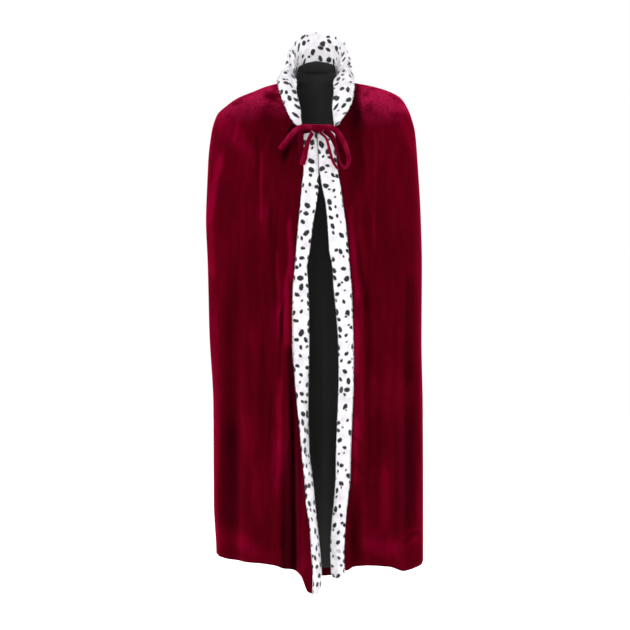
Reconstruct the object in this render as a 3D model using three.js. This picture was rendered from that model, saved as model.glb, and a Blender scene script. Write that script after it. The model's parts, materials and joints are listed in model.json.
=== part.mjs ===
// Royal mantle: a floor-sweeping open-fronted velvet cloak with a spotted white fur
// collar and fur bands down both front edges, tied at the throat with a ribbon bow.
// It keeps the hollow form that it has on a wearer: a back and two fronts hang from the
// shoulders, the back has a dark lining, and the collar stands up behind the neck and
// rolls over on to the chest.
//
// Millimetres, +Z up. The wearer faces -Y, so the wearer's right hand is on -X and the
// left hand on +X. The origin is the middle of the neck opening, at the height where the
// cloth lies beside the neck. Angles run round the body in degrees: 0 is the front, 90
// the wearer's left side, 180 the back and -90 the wearer's right side.

import * as THREE from 'three';

const rad = THREE.MathUtils.degToRad;
const deg = THREE.MathUtils.radToDeg;
const mix = THREE.MathUtils.lerp;
const clamp = THREE.MathUtils.clamp;

// Cloth thicknesses and the gap that is left at each seam
const VELVET = 2;
const LINING = 1;
const SEAM_GAP = 0.3;
const COLLAR_CLEARANCE = 0.8;

// Cut of the mantle
const SIDE_SEAM = 92; // angle of the seam over each shoulder and down the side
const ROUNDNESS = 2.5; // exponent of the horizontal sections, 2 for an ellipse
const BAND_TOP = -101; // height where the fur bands and the front edges start
const BAND_FOOT = { right: -1202, left: -1157 }; // height of each fur band's lower end
const HEM_FRONT = 5; // angle that stands for a front edge at the hem
const HEM_TURNING = 20; // the velvet shows this far above the hem, below the lining

// How finely the cloth is divided
const ROWS = 23;
const ROW_EASE = 1.85; // rows crowd towards the shoulders
const FRONT_COLUMNS = 19;
const FRONT_EASE = 1.2; // columns crowd towards the front edge
const BACK_COLUMNS = 34;

// A table's rows under its column names
function table(names, ...rows) {
  return rows.map((row) => Object.fromEntries(names.map((name, i) => [name, row[i]])));
}

// Horizontal sections of the cloth's outer face, from the hem up to the neck:
// half-widths on the wearer's right and left, and depths before and behind the origin
const SECTIONS = [
  { z: -1230, right: 238, left: 257, front: 153, back: 164 },
  { z: -1110, right: 239, left: 257, front: 151, back: 161 },
  { z: -990, right: 245, left: 257, front: 149, back: 157 },
  { z: -760, right: 246, left: 256, front: 146, back: 150 },
  { z: -600, right: 252, left: 253, front: 144, back: 146 },
  { z: -420, right: 257, left: 254, front: 139, back: 141 },
  { z: -300, right: 262, left: 251, front: 132, back: 137 },
  { z: -180, right: 259, left: 244, front: 118, back: 131 },
  { z: -105, right: 251, left: 238, front: 104, back: 123 },
  { z: -62, right: 238, left: 227, front: 93, back: 115 },
  { z: -36, right: 211, left: 215, front: 84, back: 109 },
  { z: -20, right: 187, left: 203, front: 77, back: 105 },
  { z: -6, right: 153, left: 179, front: 66, back: 100 },
  { z: 8, right: 118, left: 134, front: 51, back: 94 },
  { z: 18, right: 79, left: 82, front: 40, back: 90 },
  { z: 28, right: 56, left: 55, front: 30, back: 86 },
  { z: 44, right: 58, left: 59, front: 26, back: 81 },
  { z: 62, right: 61, left: 63, front: 24, back: 78 },
];

// Height of the velvet hem by angle from the front, for each side
const HEM = [
  { angle: 0, right: -1190, left: -1137 },
  { angle: 7, right: -1184, left: -1137 },
  { angle: 14, right: -1148, left: -1137 },
  { angle: 26, right: -1133, left: -1136 },
  { angle: 34, right: -1124, left: -1124 },
  { angle: 52, right: -1118, left: -1128 },
  { angle: 66, right: -1117, left: -1144 },
  { angle: 80, right: -1109, left: -1132 },
  { angle: 92, right: -1108, left: -1112 },
  { angle: 110, right: -1132, left: -1138 },
  { angle: 123, right: -1141, left: -1151 },
  { angle: 147, right: -1155, left: -1162 },
  { angle: 157, right: -1162, left: -1171 },
  { angle: 166, right: -1177, left: -1183 },
  { angle: 180, right: -1186, left: -1186 },
];

// The fur bands by height: where each is sewn to its front, where its free edge lies as
// seen from the front, and how far that edge turns inwards
const BANDS = table(
  ['z', 'rightSeam', 'rightEdge', 'rightBack', 'leftSeam', 'leftEdge', 'leftBack'],
  [-1250, -13, 2, 38, 72, 40, 26],
  [-1190, -9, 9, 38, 72, 39, 26],
  [-1150, -8, 12, 38, 69, 36, 24],
  [-1095, -12, 8, 39, 67, 33, 22],
  [-1030, -16, 1, 39, 70, 36, 22],
  [-980, -24, -4, 38, 75, 41, 20],
  [-920, -28, -10, 39, 81, 45, 18],
  [-860, -34, -18, 39, 82, 46, 18],
  [-780, -42, -19, 34, 85, 49, 18],
  [-690, -51, -17, 22, 88, 52, 18],
  [-610, -56, -15, 15, 88, 51, 17],
  [-545, -56, -15, 14, 86, 47, 16],
  [-475, -55, -17, 14, 84, 40, 14],
  [-430, -51, -20, 14, 80, 37, 12],
  [-390, -48, -14, 13, 77, 30, 10],
  [-320, -42, -5, 10, 70, 25, 8],
  [-280, -38, 2, 8, 64, 21, 7],
  [-235, -34, 7, 6, 58, 12, 6],
  [-195, -29, 5.6, 5, 50, 7.2, 5],
  [-90, -30, 1, 2, 42, 2.6, 2],
);

// Folds of the velvet. Each stands out (or in, if negative) from the section by a bump
// `half` degrees either side of its angle. It drifts and spreads as it goes down, grows
// from `top` to `full`, and dies away from `last` to `gone`.
const TO_HEM = { last: -1400, gone: -1500 };
const FOLD_FOOT = -1150; // height where a fold has drifted and spread by its full amount
const FOLDS = [
  // Wearer's right front
  { angle: -46, drift: 0, half: 3.5, spread: 0, out: 4, top: -60, full: -170, last: -270, gone: -380 },
  { angle: -40, drift: -1, half: 5, spread: 1, out: -6, top: -260, full: -450, last: -620, gone: -820 },
  { angle: -23, drift: -9, half: 5, spread: 1.5, out: 12, top: -400, full: -620, last: -820, gone: -1080 },
  { angle: -22, drift: 2, half: 5, spread: 4.5, out: -44, top: -620, full: -980, ...TO_HEM },
  { angle: -13, drift: 8, half: 6, spread: 2, out: 7, top: -640, full: -860, ...TO_HEM },
  { angle: -62, drift: -1, half: 9, spread: 4, out: -14, top: -430, full: -800, ...TO_HEM },
  { angle: -49, drift: 0, half: 7, spread: 1, out: 6, top: -560, full: -850, ...TO_HEM },
  { angle: -80, drift: -1, half: 9, spread: 0, out: 5, top: -160, full: -330, last: -560, gone: -780 },
  // Wearer's left front
  { angle: 46, drift: 0, half: 3.5, spread: 0, out: 4, top: -60, full: -170, last: -320, gone: -450 },
  { angle: 37, drift: 0, half: 4, spread: 0, out: 5, top: -230, full: -310, last: -350, gone: -450 },
  { angle: 35, drift: -2, half: 5, spread: 2, out: 8, top: -400, full: -520, last: -900, gone: -1100 },
  { angle: 41, drift: 1, half: 5, spread: 2, out: -9, top: -400, full: -540, last: -800, gone: -1050 },
  { angle: 52, drift: -1, half: 6, spread: 1, out: 6, top: -560, full: -850, ...TO_HEM },
  { angle: 68, drift: 0, half: 9, spread: 4, out: -15, top: -430, full: -800, ...TO_HEM },
  { angle: 29, drift: 0, half: 6, spread: 2, out: -10, top: -850, full: -1080, ...TO_HEM },
  // Sides and back, which hang in the same soft folds
  { angle: 105, drift: -1, half: 8, spread: 2, out: -8, top: -330, full: -900, ...TO_HEM },
  { angle: 122, drift: -1, half: 8, spread: 3, out: 9, top: -260, full: -820, ...TO_HEM },
  { angle: 139, drift: 0, half: 8, spread: 2, out: -10, top: -300, full: -900, ...TO_HEM },
  { angle: 155, drift: 1, half: 7, spread: 3, out: 8, top: -210, full: -760, ...TO_HEM },
  { angle: 171, drift: 0, half: 8, spread: 2, out: -9, top: -280, full: -860, ...TO_HEM },
  { angle: 187, drift: -1, half: 8, spread: 2, out: 8, top: -230, full: -800, ...TO_HEM },
  { angle: 203, drift: 0, half: 8, spread: 2, out: -10, top: -300, full: -920, ...TO_HEM },
  { angle: 219, drift: 1, half: 8, spread: 2, out: 9, top: -250, full: -800, ...TO_HEM },
  { angle: 236, drift: 1, half: 8, spread: 3, out: -9, top: -320, full: -900, ...TO_HEM },
  { angle: 253, drift: 1, half: 7, spread: 3, out: 8, top: -280, full: -860, ...TO_HEM },
];

// The neckline and the collar on it, from its front ends round to the middle of the back:
// the angle and height of the seam, how far to the side, how far back and how high the
// collar's free edge lies, how far its middle is rolled forward, how far the fur swells
// over the seam into the neck opening, and how thick the fur is as a share of its fullest
const COLLAR = table(
  [
    'rightAt', 'rightZ', 'rightOut', 'rightTip',
    'leftAt', 'leftZ', 'leftOut', 'leftTip',
    'back', 'bulge', 'rightOver', 'leftOver', 'full',
  ],
  [17.5, -97, 45, -96, 22.3, -97, 54, -93, -107, 0, 1, 1, 0.5],
  [20, -78, 58, -84, 22.8, -78, 66, -76, -103, 1, 2, 2, 0.75],
  [22, -60, 69, -64, 23.4, -60, 78, -58, -98, 3, 3, 3, 0.9],
  [26, -43, 76, -47, 25.5, -43, 84, -47, -93, 5, 4, 4, 1],
  [31, -26, 82, -31, 29, -26, 88, -33, -86, 7, 5, 5, 1],
  [37.5, -9, 88, -14, 34, -9, 90, -16, -75, 9, 7, 6, 1],
  [44.5, 6, 91, 2, 40, 6, 91, 1, -58, 11, 7, 5, 1],
  [53, 17, 93, 14, 49, 17, 91, 17, -38, 13, 4, 3, 1],
  [63, 23, 89, 24, 60, 23, 91, 28, -19, 14, 2, 0, 1],
  [75, 27, 83, 38, 73, 27, 89, 43, 1, 13, 1, 0, 1],
  [92, 29, 77, 60, 92, 29, 88, 62, 25, 11, 0, 0, 1],
  [108, 32.5, 73, 82, 108, 32.5, 84, 86, 44, 8, 0, 0, 0.95],
  [124, 37, 68, 102, 124, 37, 79, 108, 62, 5, 0, 0, 0.85],
  [140, 41.5, 57, 123, 140, 41.5, 70, 127, 78, 3, 0, 0, 0.8],
  [154, 45.5, 41, 139, 154, 45.5, 52, 141, 90, 2, 0, 0, 0.8],
  [167, 48.5, 21, 148, 167, 48.5, 28, 148, 98, 2, 0, 0, 0.8],
  [180, 50, 0, 151, 180, 50, 0, 151, 102, 2, 0, 0, 0.8],
);
const COLLAR_STEPS = 2; // rings of the collar for each row of its table
// Thickness of the collar's two layers of fur, along its height from root to free edge
const COLLAR_THICKNESS = [
  { along: 0, thick: 7 },
  { along: 0.35, thick: 10 },
  { along: 0.7, thick: 12 },
  { along: 0.92, thick: 10 },
];
const COLLAR_TIP = 4; // thickness of its rounded free edge
const COLLAR_SWELL = [0.75, 0.3]; // where the swell's two points lie, as shares of the root's thickness

// How far the lining climbs the collar's inner face, by angle from the front
const LINING_RISE = [
  { angle: 107, right: 0, left: 0 },
  { angle: 112, right: 1, left: 4 },
  { angle: 118, right: 4, left: 9 },
  { angle: 124, right: 11, left: 16 },
  { angle: 131, right: 18, left: 20 },
  { angle: 180, right: 25, left: 25 },
];
const LINING_RISE_ROWS = 3;
const LINING_ROW_DROP = 0.5; // between those rows where the lining doesn't climb
const LINING_TUCK = -1.5; // the lowest of those rows, below the collar's root
const LINING_FROM_COLLAR = 2.5;

// The ribbon tie. Each run is a list of points on its centreline. `lie` is the way the
// ribbon's width points as seen from the front, in degrees up from the wearer's left,
// and `lean` turns the width to face the front edge on.
const RIBBON_THICKNESS = 1.6;
const RIBBON_STEPS = 3; // between two rows of the table
const KNOT = { x: 4, y: -118.2, z: -103.5, wide: 28, deep: 10, high: 19 };
const RUNS = [
  {
    name: 'tie_tape',
    width: 12,
    points: [
      { x: -47, y: -106.7, z: -106, lie: 100, lean: 0 },
      { x: -38, y: -110.8, z: -103.5, lie: 98, lean: 0 },
      { x: -27, y: -111.9, z: -100.5, lie: 94, lean: 0 },
      { x: -10, y: -111.9, z: -98.8, lie: 90, lean: 0 },
      { x: 12, y: -111.9, z: -98.8, lie: 90, lean: 0 },
      { x: 32, y: -111.9, z: -100, lie: 90, lean: 0 },
      { x: 46, y: -109.3, z: -103, lie: 90, lean: 0 },
    ],
  },
  {
    name: 'tie_loop_right',
    width: 13,
    points: [
      { x: -9.6, y: -120.5, z: -101, lie: 90, lean: 0 },
      { x: -30, y: -123, z: -99.5, lie: 100, lean: 0 },
      { x: -48, y: -122.5, z: -108, lie: 125, lean: 0 },
      { x: -66, y: -122, z: -128, lie: 140, lean: 0 },
      { x: -80, y: -120.5, z: -146, lie: 140, lean: 0 },
      { x: -84, y: -117, z: -151, lie: 140, lean: 0 },
      { x: -79, y: -114, z: -149, lie: 140, lean: 0 },
      { x: -66, y: -114.5, z: -137, lie: 138, lean: 0 },
      { x: -50, y: -115.5, z: -121, lie: 130, lean: 0 },
      { x: -34, y: -117.5, z: -110, lie: 110, lean: 0 },
      { x: -12, y: -116.8, z: -106, lie: 95, lean: 0 },
    ],
  },
  {
    name: 'tie_loop_left',
    width: 14,
    points: [
      { x: 18.4, y: -120, z: -101, lie: -90, lean: 0 },
      { x: 36, y: -123, z: -102, lie: -100, lean: 5 },
      { x: 52, y: -124, z: -115, lie: -130, lean: 15 },
      { x: 64, y: -125.5, z: -135, lie: -150, lean: 25 },
      { x: 73, y: -128, z: -160, lie: -168, lean: 35 },
      { x: 76, y: -131, z: -184, lie: -190, lean: 50 },
      { x: 68, y: -133, z: -196, lie: -260, lean: 65 },
      { x: 58, y: -133, z: -187, lie: -320, lean: 70 },
      { x: 51, y: -130, z: -165, lie: -345, lean: 70 },
      { x: 45, y: -126, z: -143, lie: -340, lean: 55 },
      { x: 36, y: -121, z: -121, lie: -325, lean: 25 },
      { x: 19.5, y: -116.5, z: -106.5, lie: -290, lean: 0 },
    ],
  },
  {
    name: 'tie_hang_right',
    width: 13,
    points: [
      { x: -8, y: -119, z: -113, lie: 170, lean: 50 },
      { x: -16, y: -124, z: -127, lie: 165, lean: 50 },
      { x: -22, y: -127.5, z: -146, lie: 165, lean: 35 },
      { x: -27, y: -130, z: -168, lie: 170, lean: 10 },
      { x: -31, y: -130.5, z: -184, lie: 175, lean: 0 },
      { x: -32, y: -128.5, z: -188, lie: 180, lean: 0 },
      { x: -33, y: -126.5, z: -184, lie: 180, lean: 0 },
      { x: -34, y: -125, z: -168, lie: 180, lean: 0 },
      { x: -35, y: -123, z: -146, lie: 180, lean: 0 },
      { x: -35.5, y: -121, z: -125, lie: 180, lean: 0 },
      { x: -35, y: -120.3, z: -106, lie: 180, lean: 0 },
    ],
  },
  {
    name: 'tie_tail_left',
    width: 12,
    points: [
      { x: 10, y: -118.2, z: -113.2, lie: 200, lean: 50 },
      { x: 23.4, y: -123, z: -126, lie: 205, lean: 58 },
      { x: 30.5, y: -127, z: -149, lie: 198, lean: 58 },
      { x: 36.6, y: -131, z: -172, lie: 200, lean: 58 },
      { x: 42, y: -134, z: -186, lie: 210, lean: 58 },
      { x: 51, y: -136, z: -199, lie: 220, lean: 58 },
    ],
  },
];

// A smooth step from 0 to 1
function ease(t) {
  const s = clamp(t, 0, 1);
  return s * s * (3 - 2 * s);
}

// A smooth curve through one column of a table, that never overshoots its rows
function curve(rows, key, column) {
  const at = rows.map((row) => row[key]);
  const value = rows.map((row) => row[column]);
  const slope = at.slice(1).map((x, i) => (value[i + 1] - value[i]) / (x - at[i]));
  const tangent = at.map((x, i) => {
    if (i === 0) return slope[0];
    if (i === at.length - 1) return slope[i - 1];
    const [a, b] = [slope[i - 1], slope[i]];
    return a * b <= 0 ? 0 : (2 * a * b) / (a + b);
  });
  return (x) => {
    const inside = clamp(x, at[0], at[at.length - 1]);
    let i = 0;
    while (i < at.length - 2 && inside > at[i + 1]) i += 1;
    const span = at[i + 1] - at[i];
    const t = (inside - at[i]) / span;
    const h = t * t * (3 - 2 * t);
    return (
      value[i] * (1 - h) +
      value[i + 1] * h +
      span * t * (1 - t) * (tangent[i] * (1 - t) - tangent[i + 1] * t)
    );
  };
}

const SIDES = [
  { name: 'right', sign: -1 },
  { name: 'left', sign: 1 },
];
const halfWidth = { right: curve(SECTIONS, 'z', 'right'), left: curve(SECTIONS, 'z', 'left') };
const frontDepth = curve(SECTIONS, 'z', 'front');
const backDepth = curve(SECTIONS, 'z', 'back');
const neckline = {
  right: curve(COLLAR, 'rightAt', 'rightZ'),
  left: curve(COLLAR, 'leftAt', 'leftZ'),
};
const hem = { right: curve(HEM, 'angle', 'right'), left: curve(HEM, 'angle', 'left') };

// The angle brought into the range from -180 to 180
function wrapped(angle) {
  return ((((angle + 180) % 360) + 360) % 360) - 180;
}

function sideOf(angle) {
  return wrapped(angle) < 0 ? 'right' : 'left';
}

function necklineAt(angle) {
  return neckline[sideOf(angle)](Math.abs(wrapped(angle)));
}

function hemAt(angle) {
  return hem[sideOf(angle)](Math.abs(wrapped(angle)));
}

// The plain section, with no folds, as a point at that angle and height
function sectionPoint(angle, z) {
  const [s, c] = [Math.sin(rad(angle)), Math.cos(rad(angle))];
  const across = Math.abs(s) / halfWidth[s < 0 ? 'right' : 'left'](z);
  const deep = Math.abs(c) / (c > 0 ? frontDepth(z) : backDepth(z));
  const radius = (across ** ROUNDNESS + deep ** ROUNDNESS) ** (-1 / ROUNDNESS);
  return new THREE.Vector3(radius * s, -radius * c, z);
}

// How far the folds move the cloth out at that angle and height
function foldAt(angle, z) {
  let out = 0;
  for (const fold of FOLDS) {
    const down = clamp((fold.top - z) / (fold.top - FOLD_FOOT), 0, 1);
    const away = wrapped(angle - fold.angle - fold.drift * down) / (fold.half + fold.spread * down);
    if (Math.abs(away) >= 1) continue;
    const bump = Math.cos((away * Math.PI) / 2) ** 2;
    const grown = ease((fold.top - z) / (fold.top - fold.full));
    const left = 1 - ease((fold.last - z) / (fold.last - fold.gone));
    out += fold.out * bump * grown * left;
  }
  return out;
}

// The velvet's outer face
function clothPoint(angle, z) {
  const step = 0.5;
  const before = sectionPoint(angle - step, z);
  const after = sectionPoint(angle + step, z);
  const outward = new THREE.Vector3(after.y - before.y, before.x - after.x, 0).normalize();
  return sectionPoint(angle, z).addScaledVector(outward, foldAt(angle, z));
}

function clothNormal(angle, z) {
  const [turn, drop] = [0.4, 1];
  const round = clothPoint(angle + turn, z).sub(clothPoint(angle - turn, z));
  const down = clothPoint(angle, z - drop).sub(clothPoint(angle, z + drop));
  return down.cross(round).normalize();
}

// The velvet's face, moved out by so much, or in if negative
function clothOffset(angle, z, out) {
  return clothPoint(angle, z).addScaledVector(clothNormal(angle, z), out);
}

// A closed mesh from its points and triangles, turned so that its faces point out
function closedMesh(name, material, points, triangles) {
  let volume = 0;
  for (const [a, b, c] of triangles) {
    volume += points[a].dot(new THREE.Vector3().crossVectors(points[b], points[c]));
  }
  const faces = volume < 0 ? triangles.map(([a, b, c]) => [a, c, b]) : triangles;
  const geometry = new THREE.BufferGeometry();
  geometry.setAttribute(
    'position',
    new THREE.Float32BufferAttribute(points.flatMap((p) => [p.x, p.y, p.z]), 3),
  );
  geometry.setIndex(faces.flat());
  geometry.computeVertexNormals();
  const mesh = new THREE.Mesh(geometry, material);
  mesh.name = name;
  return mesh;
}

// A wall between two grids of points of the same size, closed along its four edges
function wall(name, material, outer, inner) {
  const [rows, columns] = [outer.length, outer[0].length];
  const points = [...outer.flat(), ...inner.flat()];
  const o = (i, j) => i * columns + j;
  const n = (i, j) => rows * columns + o(i, j);
  const triangles = [];
  const quad = (a, b, c, d) => triangles.push([a, b, c], [a, c, d]);
  for (let i = 0; i < rows - 1; i += 1) {
    for (let j = 0; j < columns - 1; j += 1) {
      quad(o(i, j), o(i + 1, j), o(i + 1, j + 1), o(i, j + 1));
      quad(n(i, j), n(i, j + 1), n(i + 1, j + 1), n(i + 1, j));
    }
    quad(n(i, 0), n(i + 1, 0), o(i + 1, 0), o(i, 0));
    quad(o(i, columns - 1), o(i + 1, columns - 1), n(i + 1, columns - 1), n(i, columns - 1));
  }
  for (let j = 0; j < columns - 1; j += 1) {
    quad(o(0, j), o(0, j + 1), n(0, j + 1), n(0, j));
    quad(o(rows - 1, j), n(rows - 1, j), n(rows - 1, j + 1), o(rows - 1, j + 1));
  }
  return closedMesh(name, material, points, triangles);
}

// A body lofted through rings of the same number of points, closed at both ends
function loft(name, material, rings) {
  const count = rings[0].length;
  const points = rings.flat();
  const triangles = [];
  for (let i = 0; i < rings.length - 1; i += 1) {
    for (let k = 0; k < count; k += 1) {
      const [a, b] = [i * count + k, i * count + ((k + 1) % count)];
      triangles.push([a, b, b + count], [a, b + count, a + count]);
    }
  }
  for (const [ring, flip] of [
    [0, true],
    [rings.length - 1, false],
  ]) {
    const middle = points.length;
    points.push(
      rings[ring].reduce((sum, p) => sum.add(p), new THREE.Vector3()).divideScalar(count),
    );
    for (let k = 0; k < count; k += 1) {
      const [a, b] = [ring * count + k, ring * count + ((k + 1) % count)];
      triangles.push(flip ? [middle, b, a] : [middle, a, b]);
    }
  }
  return closedMesh(name, material, points, triangles);
}

// The seam, free edge and outward direction of a fur band at that height
const bandCurve = {};
for (const { name } of SIDES) {
  bandCurve[name] = {
    seam: curve(BANDS, 'z', `${name}Seam`),
    edge: curve(BANDS, 'z', `${name}Edge`),
    back: curve(BANDS, 'z', `${name}Back`),
  };
}

// The angle at which the section has that distance across, in front
function angleOfX(x, z) {
  const share = Math.abs(x) / halfWidth[x < 0 ? 'right' : 'left'](z);
  const forward = frontDepth(z) * (1 - share ** ROUNDNESS) ** (1 / ROUNDNESS);
  return deg(Math.atan2(x, forward));
}

function edgeAngle(side, z) {
  return angleOfX(bandCurve[side.name].seam(Math.min(z, BAND_TOP)), z);
}

// Height of a row of the cloth between the top and the hem of one column
function rowHeight(top, bottom, i) {
  return mix(top, bottom, (i / ROWS) ** ROW_EASE);
}

function seamGapAngle(angle, z) {
  return deg(SEAM_GAP / 2 / sectionPoint(angle, z).setZ(0).length());
}

// Where a band meets its front: the seam point, the way across the band, its outward
// direction, and the direction of the cut between the two pieces
function bandFrame(side, z) {
  const angle = edgeAngle(side, z);
  const seam = clothPoint(angle, z);
  const span = bandCurve[side.name].edge(z) - seam.x;
  const back = bandCurve[side.name].back(z);
  const wide = Math.hypot(span, back);
  const across = new THREE.Vector3(span, back, 0).normalize();
  const outward = new THREE.Vector3(across.y, -across.x, 0).multiplyScalar(-side.sign);
  const normal = clothNormal(angle, z);
  const cut = normal.clone().add(outward).normalize();
  return { angle, seam, across, outward, normal, cut, wide };
}

function frontPanel(side, material) {
  const [outer, inner] = [[], []];
  const topEdge = edgeAngle(side, BAND_TOP);
  const hemEdge = edgeAngle(side, hemAt(side.sign * HEM_FRONT));
  for (let i = 0; i <= ROWS; i += 1) {
    outer.push([]);
    inner.push([]);
    for (let j = 0; j <= FRONT_COLUMNS; j += 1) {
      const across = (j / FRONT_COLUMNS) ** FRONT_EASE;
      const sideSeam = side.sign * SIDE_SEAM;
      const top = j === 0 ? BAND_TOP : necklineAt(mix(topEdge, sideSeam, across));
      const z = rowHeight(top, hemAt(mix(hemEdge, sideSeam, across)), i);
      if (j === 0) {
        const { seam, cut } = bandFrame(side, z);
        outer[i].push(seam);
        inner[i].push(seam.clone().addScaledVector(cut, -VELVET));
        continue;
      }
      const last = sideSeam - side.sign * seamGapAngle(sideSeam, z);
      const angle = mix(edgeAngle(side, z), last, across);
      outer[i].push(clothPoint(angle, z));
      inner[i].push(clothOffset(angle, z, -VELVET));
    }
  }
  return wall(`front_${side.name}`, material, outer, inner);
}

// The columns of the back, from the wearer's left seam round to the right one
function backAngle(j, z) {
  const gap = seamGapAngle(SIDE_SEAM, z);
  return mix(SIDE_SEAM + gap, 360 - SIDE_SEAM - gap, j / BACK_COLUMNS);
}

function backPanel(material) {
  const [outer, inner] = [[], []];
  for (let i = 0; i <= ROWS; i += 1) {
    outer.push([]);
    inner.push([]);
    for (let j = 0; j <= BACK_COLUMNS; j += 1) {
      const plain = mix(SIDE_SEAM, 360 - SIDE_SEAM, j / BACK_COLUMNS);
      const z = rowHeight(necklineAt(plain), hemAt(plain), i);
      outer[i].push(clothPoint(backAngle(j, z), z));
      inner[i].push(clothOffset(backAngle(j, z), z, -VELVET));
    }
  }
  return wall('back', material, outer, inner);
}

const collarThickness = curve(COLLAR_THICKNESS, 'along', 'thick');
const liningRise = {
  right: curve(LINING_RISE, 'angle', 'right'),
  left: curve(LINING_RISE, 'angle', 'left'),
};

// The collar's table by station, which counts its rows from the front end
const STATIONS = COLLAR.map((row, station) => ({ station, ...row }));
const collarColumn = {};
for (const column of Object.keys(COLLAR[0])) {
  collarColumn[column] = curve(STATIONS, 'station', column);
}
const stationAt = {
  right: curve(STATIONS, 'rightAt', 'station'),
  left: curve(STATIONS, 'leftAt', 'station'),
};

// The collar at one station: its root, free edge and the way its face looks
function collarFrame(side, station) {
  const value = (column) => collarColumn[column](station);
  const angle = side.sign * value(`${side.name}At`);
  const seam = clothPoint(angle, necklineAt(angle));
  const edge = new THREE.Vector3(
    side.sign * value(`${side.name}Out`),
    value('back'),
    value(`${side.name}Tip`),
  );
  const along = edge.clone().sub(seam).normalize();
  const root = seam
    .clone()
    .addScaledVector(clothNormal(angle, seam.z), COLLAR_CLEARANCE)
    .addScaledVector(along, COLLAR_CLEARANCE);
  const next = clothPoint(angle - 1, necklineAt(angle - 1));
  const before = clothPoint(angle + 1, necklineAt(angle + 1));
  const face = next.sub(before).cross(along).normalize();
  const inward = new THREE.Vector3(-along.x, -along.y, Math.max(-along.z, 0)).normalize();
  const swell = root.clone().addScaledVector(inward, value(`${side.name}Over`));
  return { root, edge, face, swell, bulge: value('bulge'), full: value('full') };
}

// A point of the collar: how far along from root to edge, and how far towards its face
function collarPoint(frame, along, thick) {
  const roll = frame.bulge * 4 * along * (1 - along);
  return frame.root
    .clone()
    .lerp(frame.edge, along)
    .addScaledVector(frame.face, roll + thick);
}

function collarRing(side, station) {
  const frame = collarFrame(side, station);
  const stops = COLLAR_THICKNESS.map((stop) => stop.along);
  const thickAt = (along) => collarThickness(along) * frame.full;
  const under = stops.map((s) => collarPoint(frame, s, 0));
  const face = stops.map((s) => collarPoint(frame, s, thickAt(s)));
  const middle = thickAt(1) / 2;
  const tip = [-1, 1].map((way) => collarPoint(frame, 1, middle + (way * COLLAR_TIP) / 2));
  const swell = COLLAR_SWELL.map((share) =>
    frame.swell.clone().addScaledVector(frame.face, thickAt(0) * share),
  );
  return [...under, ...tip, ...face.reverse(), ...swell];
}

function collar(material) {
  const [right, left] = SIDES;
  const last = COLLAR.length - 1;
  const rings = [];
  for (let i = 0; i <= last * COLLAR_STEPS; i += 1) {
    rings.push(collarRing(right, i / COLLAR_STEPS));
  }
  for (let i = last * COLLAR_STEPS - 1; i >= 0; i -= 1) {
    rings.push(collarRing(left, i / COLLAR_STEPS));
  }
  return loft('collar', material, rings);
}

// The collar's frame at any angle round the back
function collarFrameAt(angle) {
  const side = SIDES.find(({ name }) => name === sideOf(angle));
  return collarFrame(side, stationAt[side.name](Math.abs(wrapped(angle))));
}

// The lining of the back: it lies on the velvet's inner face, and at the top it passes
// in front of the collar's root and a little way up the collar's face
function lining(material) {
  const [outer, inner] = [[], []];
  for (let i = 0; i < LINING_RISE_ROWS; i += 1) {
    outer.push([]);
    inner.push([]);
    for (let j = 0; j <= BACK_COLUMNS; j += 1) {
      const angle = backAngle(j, 0);
      const rise = liningRise[sideOf(angle)](Math.abs(wrapped(angle)));
      if (rise === 0) {
        const z = necklineAt(angle) - LINING_ROW_DROP * (i + 1);
        outer[i].push(clothOffset(angle, z, -VELVET - SEAM_GAP));
        inner[i].push(clothOffset(angle, z, -VELVET - SEAM_GAP - LINING));
        continue;
      }
      const frame = collarFrameAt(angle);
      const height = frame.root.distanceTo(frame.edge);
      const up = mix(rise, LINING_TUCK, i / (LINING_RISE_ROWS - 1)) / height;
      const face = collarThickness(up) + LINING_FROM_COLLAR;
      outer[i].push(collarPoint(frame, up, face));
      inner[i].push(collarPoint(frame, up, face + LINING));
    }
  }
  for (let i = 1; i <= ROWS; i += 1) {
    const [outerRow, innerRow] = [[], []];
    for (let j = 0; j <= BACK_COLUMNS; j += 1) {
      const plain = mix(SIDE_SEAM, 360 - SIDE_SEAM, j / BACK_COLUMNS);
      const bottom = hemAt(plain) + (i === ROWS ? HEM_TURNING : 0);
      const z = rowHeight(necklineAt(plain), bottom, i);
      const depth = -VELVET - SEAM_GAP;
      outerRow.push(clothOffset(backAngle(j, z), z, depth));
      innerRow.push(clothOffset(backAngle(j, z), z, depth - LINING));
    }
    outer.push(outerRow);
    inner.push(innerRow);
  }
  return wall('lining_back', material, outer, inner);
}

const BAND_SEAM_RISE = 3; // how far the fur stands out right at its seam

// Section of a fur band, from the seam's inner corner round its outer face to its inner
// face: share of the width, then millimetres more, and how far out it lies
const BAND_SECTION = [
  { share: 0, more: 4, out: 6 },
  { share: 0.3, more: 0, out: 7.5 },
  { share: 0.65, more: 0, out: 7.5 },
  { share: 1, more: -4, out: 6 },
  { share: 1, more: 0, out: 2 },
  { share: 1, more: -3, out: -2.5 },
  { share: 0.6, more: 0, out: -3.5 },
  { share: 0.3, more: 0, out: -3.5 },
];

// The band's rounded lower end: how far down it is and how much of the section is left
const BAND_END = [
  { drop: 0.6, grow: 0.97 },
  { drop: 0.9, grow: 0.8 },
  { drop: 1, grow: 0.5 },
];

function bandRing(side, z, grow) {
  const frame = bandFrame(side, z);
  const start = frame.seam.clone().addScaledVector(frame.across, SEAM_GAP);
  const centre = start.clone().addScaledVector(frame.across, frame.wide / 2);
  const ring = [
    start.clone().addScaledVector(frame.cut, -VELVET),
    start,
    start.clone().addScaledVector(frame.cut, BAND_SEAM_RISE),
    ...BAND_SECTION.map((row) =>
      frame.seam
        .clone()
        .addScaledVector(frame.across, row.share * frame.wide + row.more)
        .addScaledVector(frame.outward, row.out),
    ),
  ];
  return ring.map((p) => centre.clone().lerp(p, grow).setZ(z));
}

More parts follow.
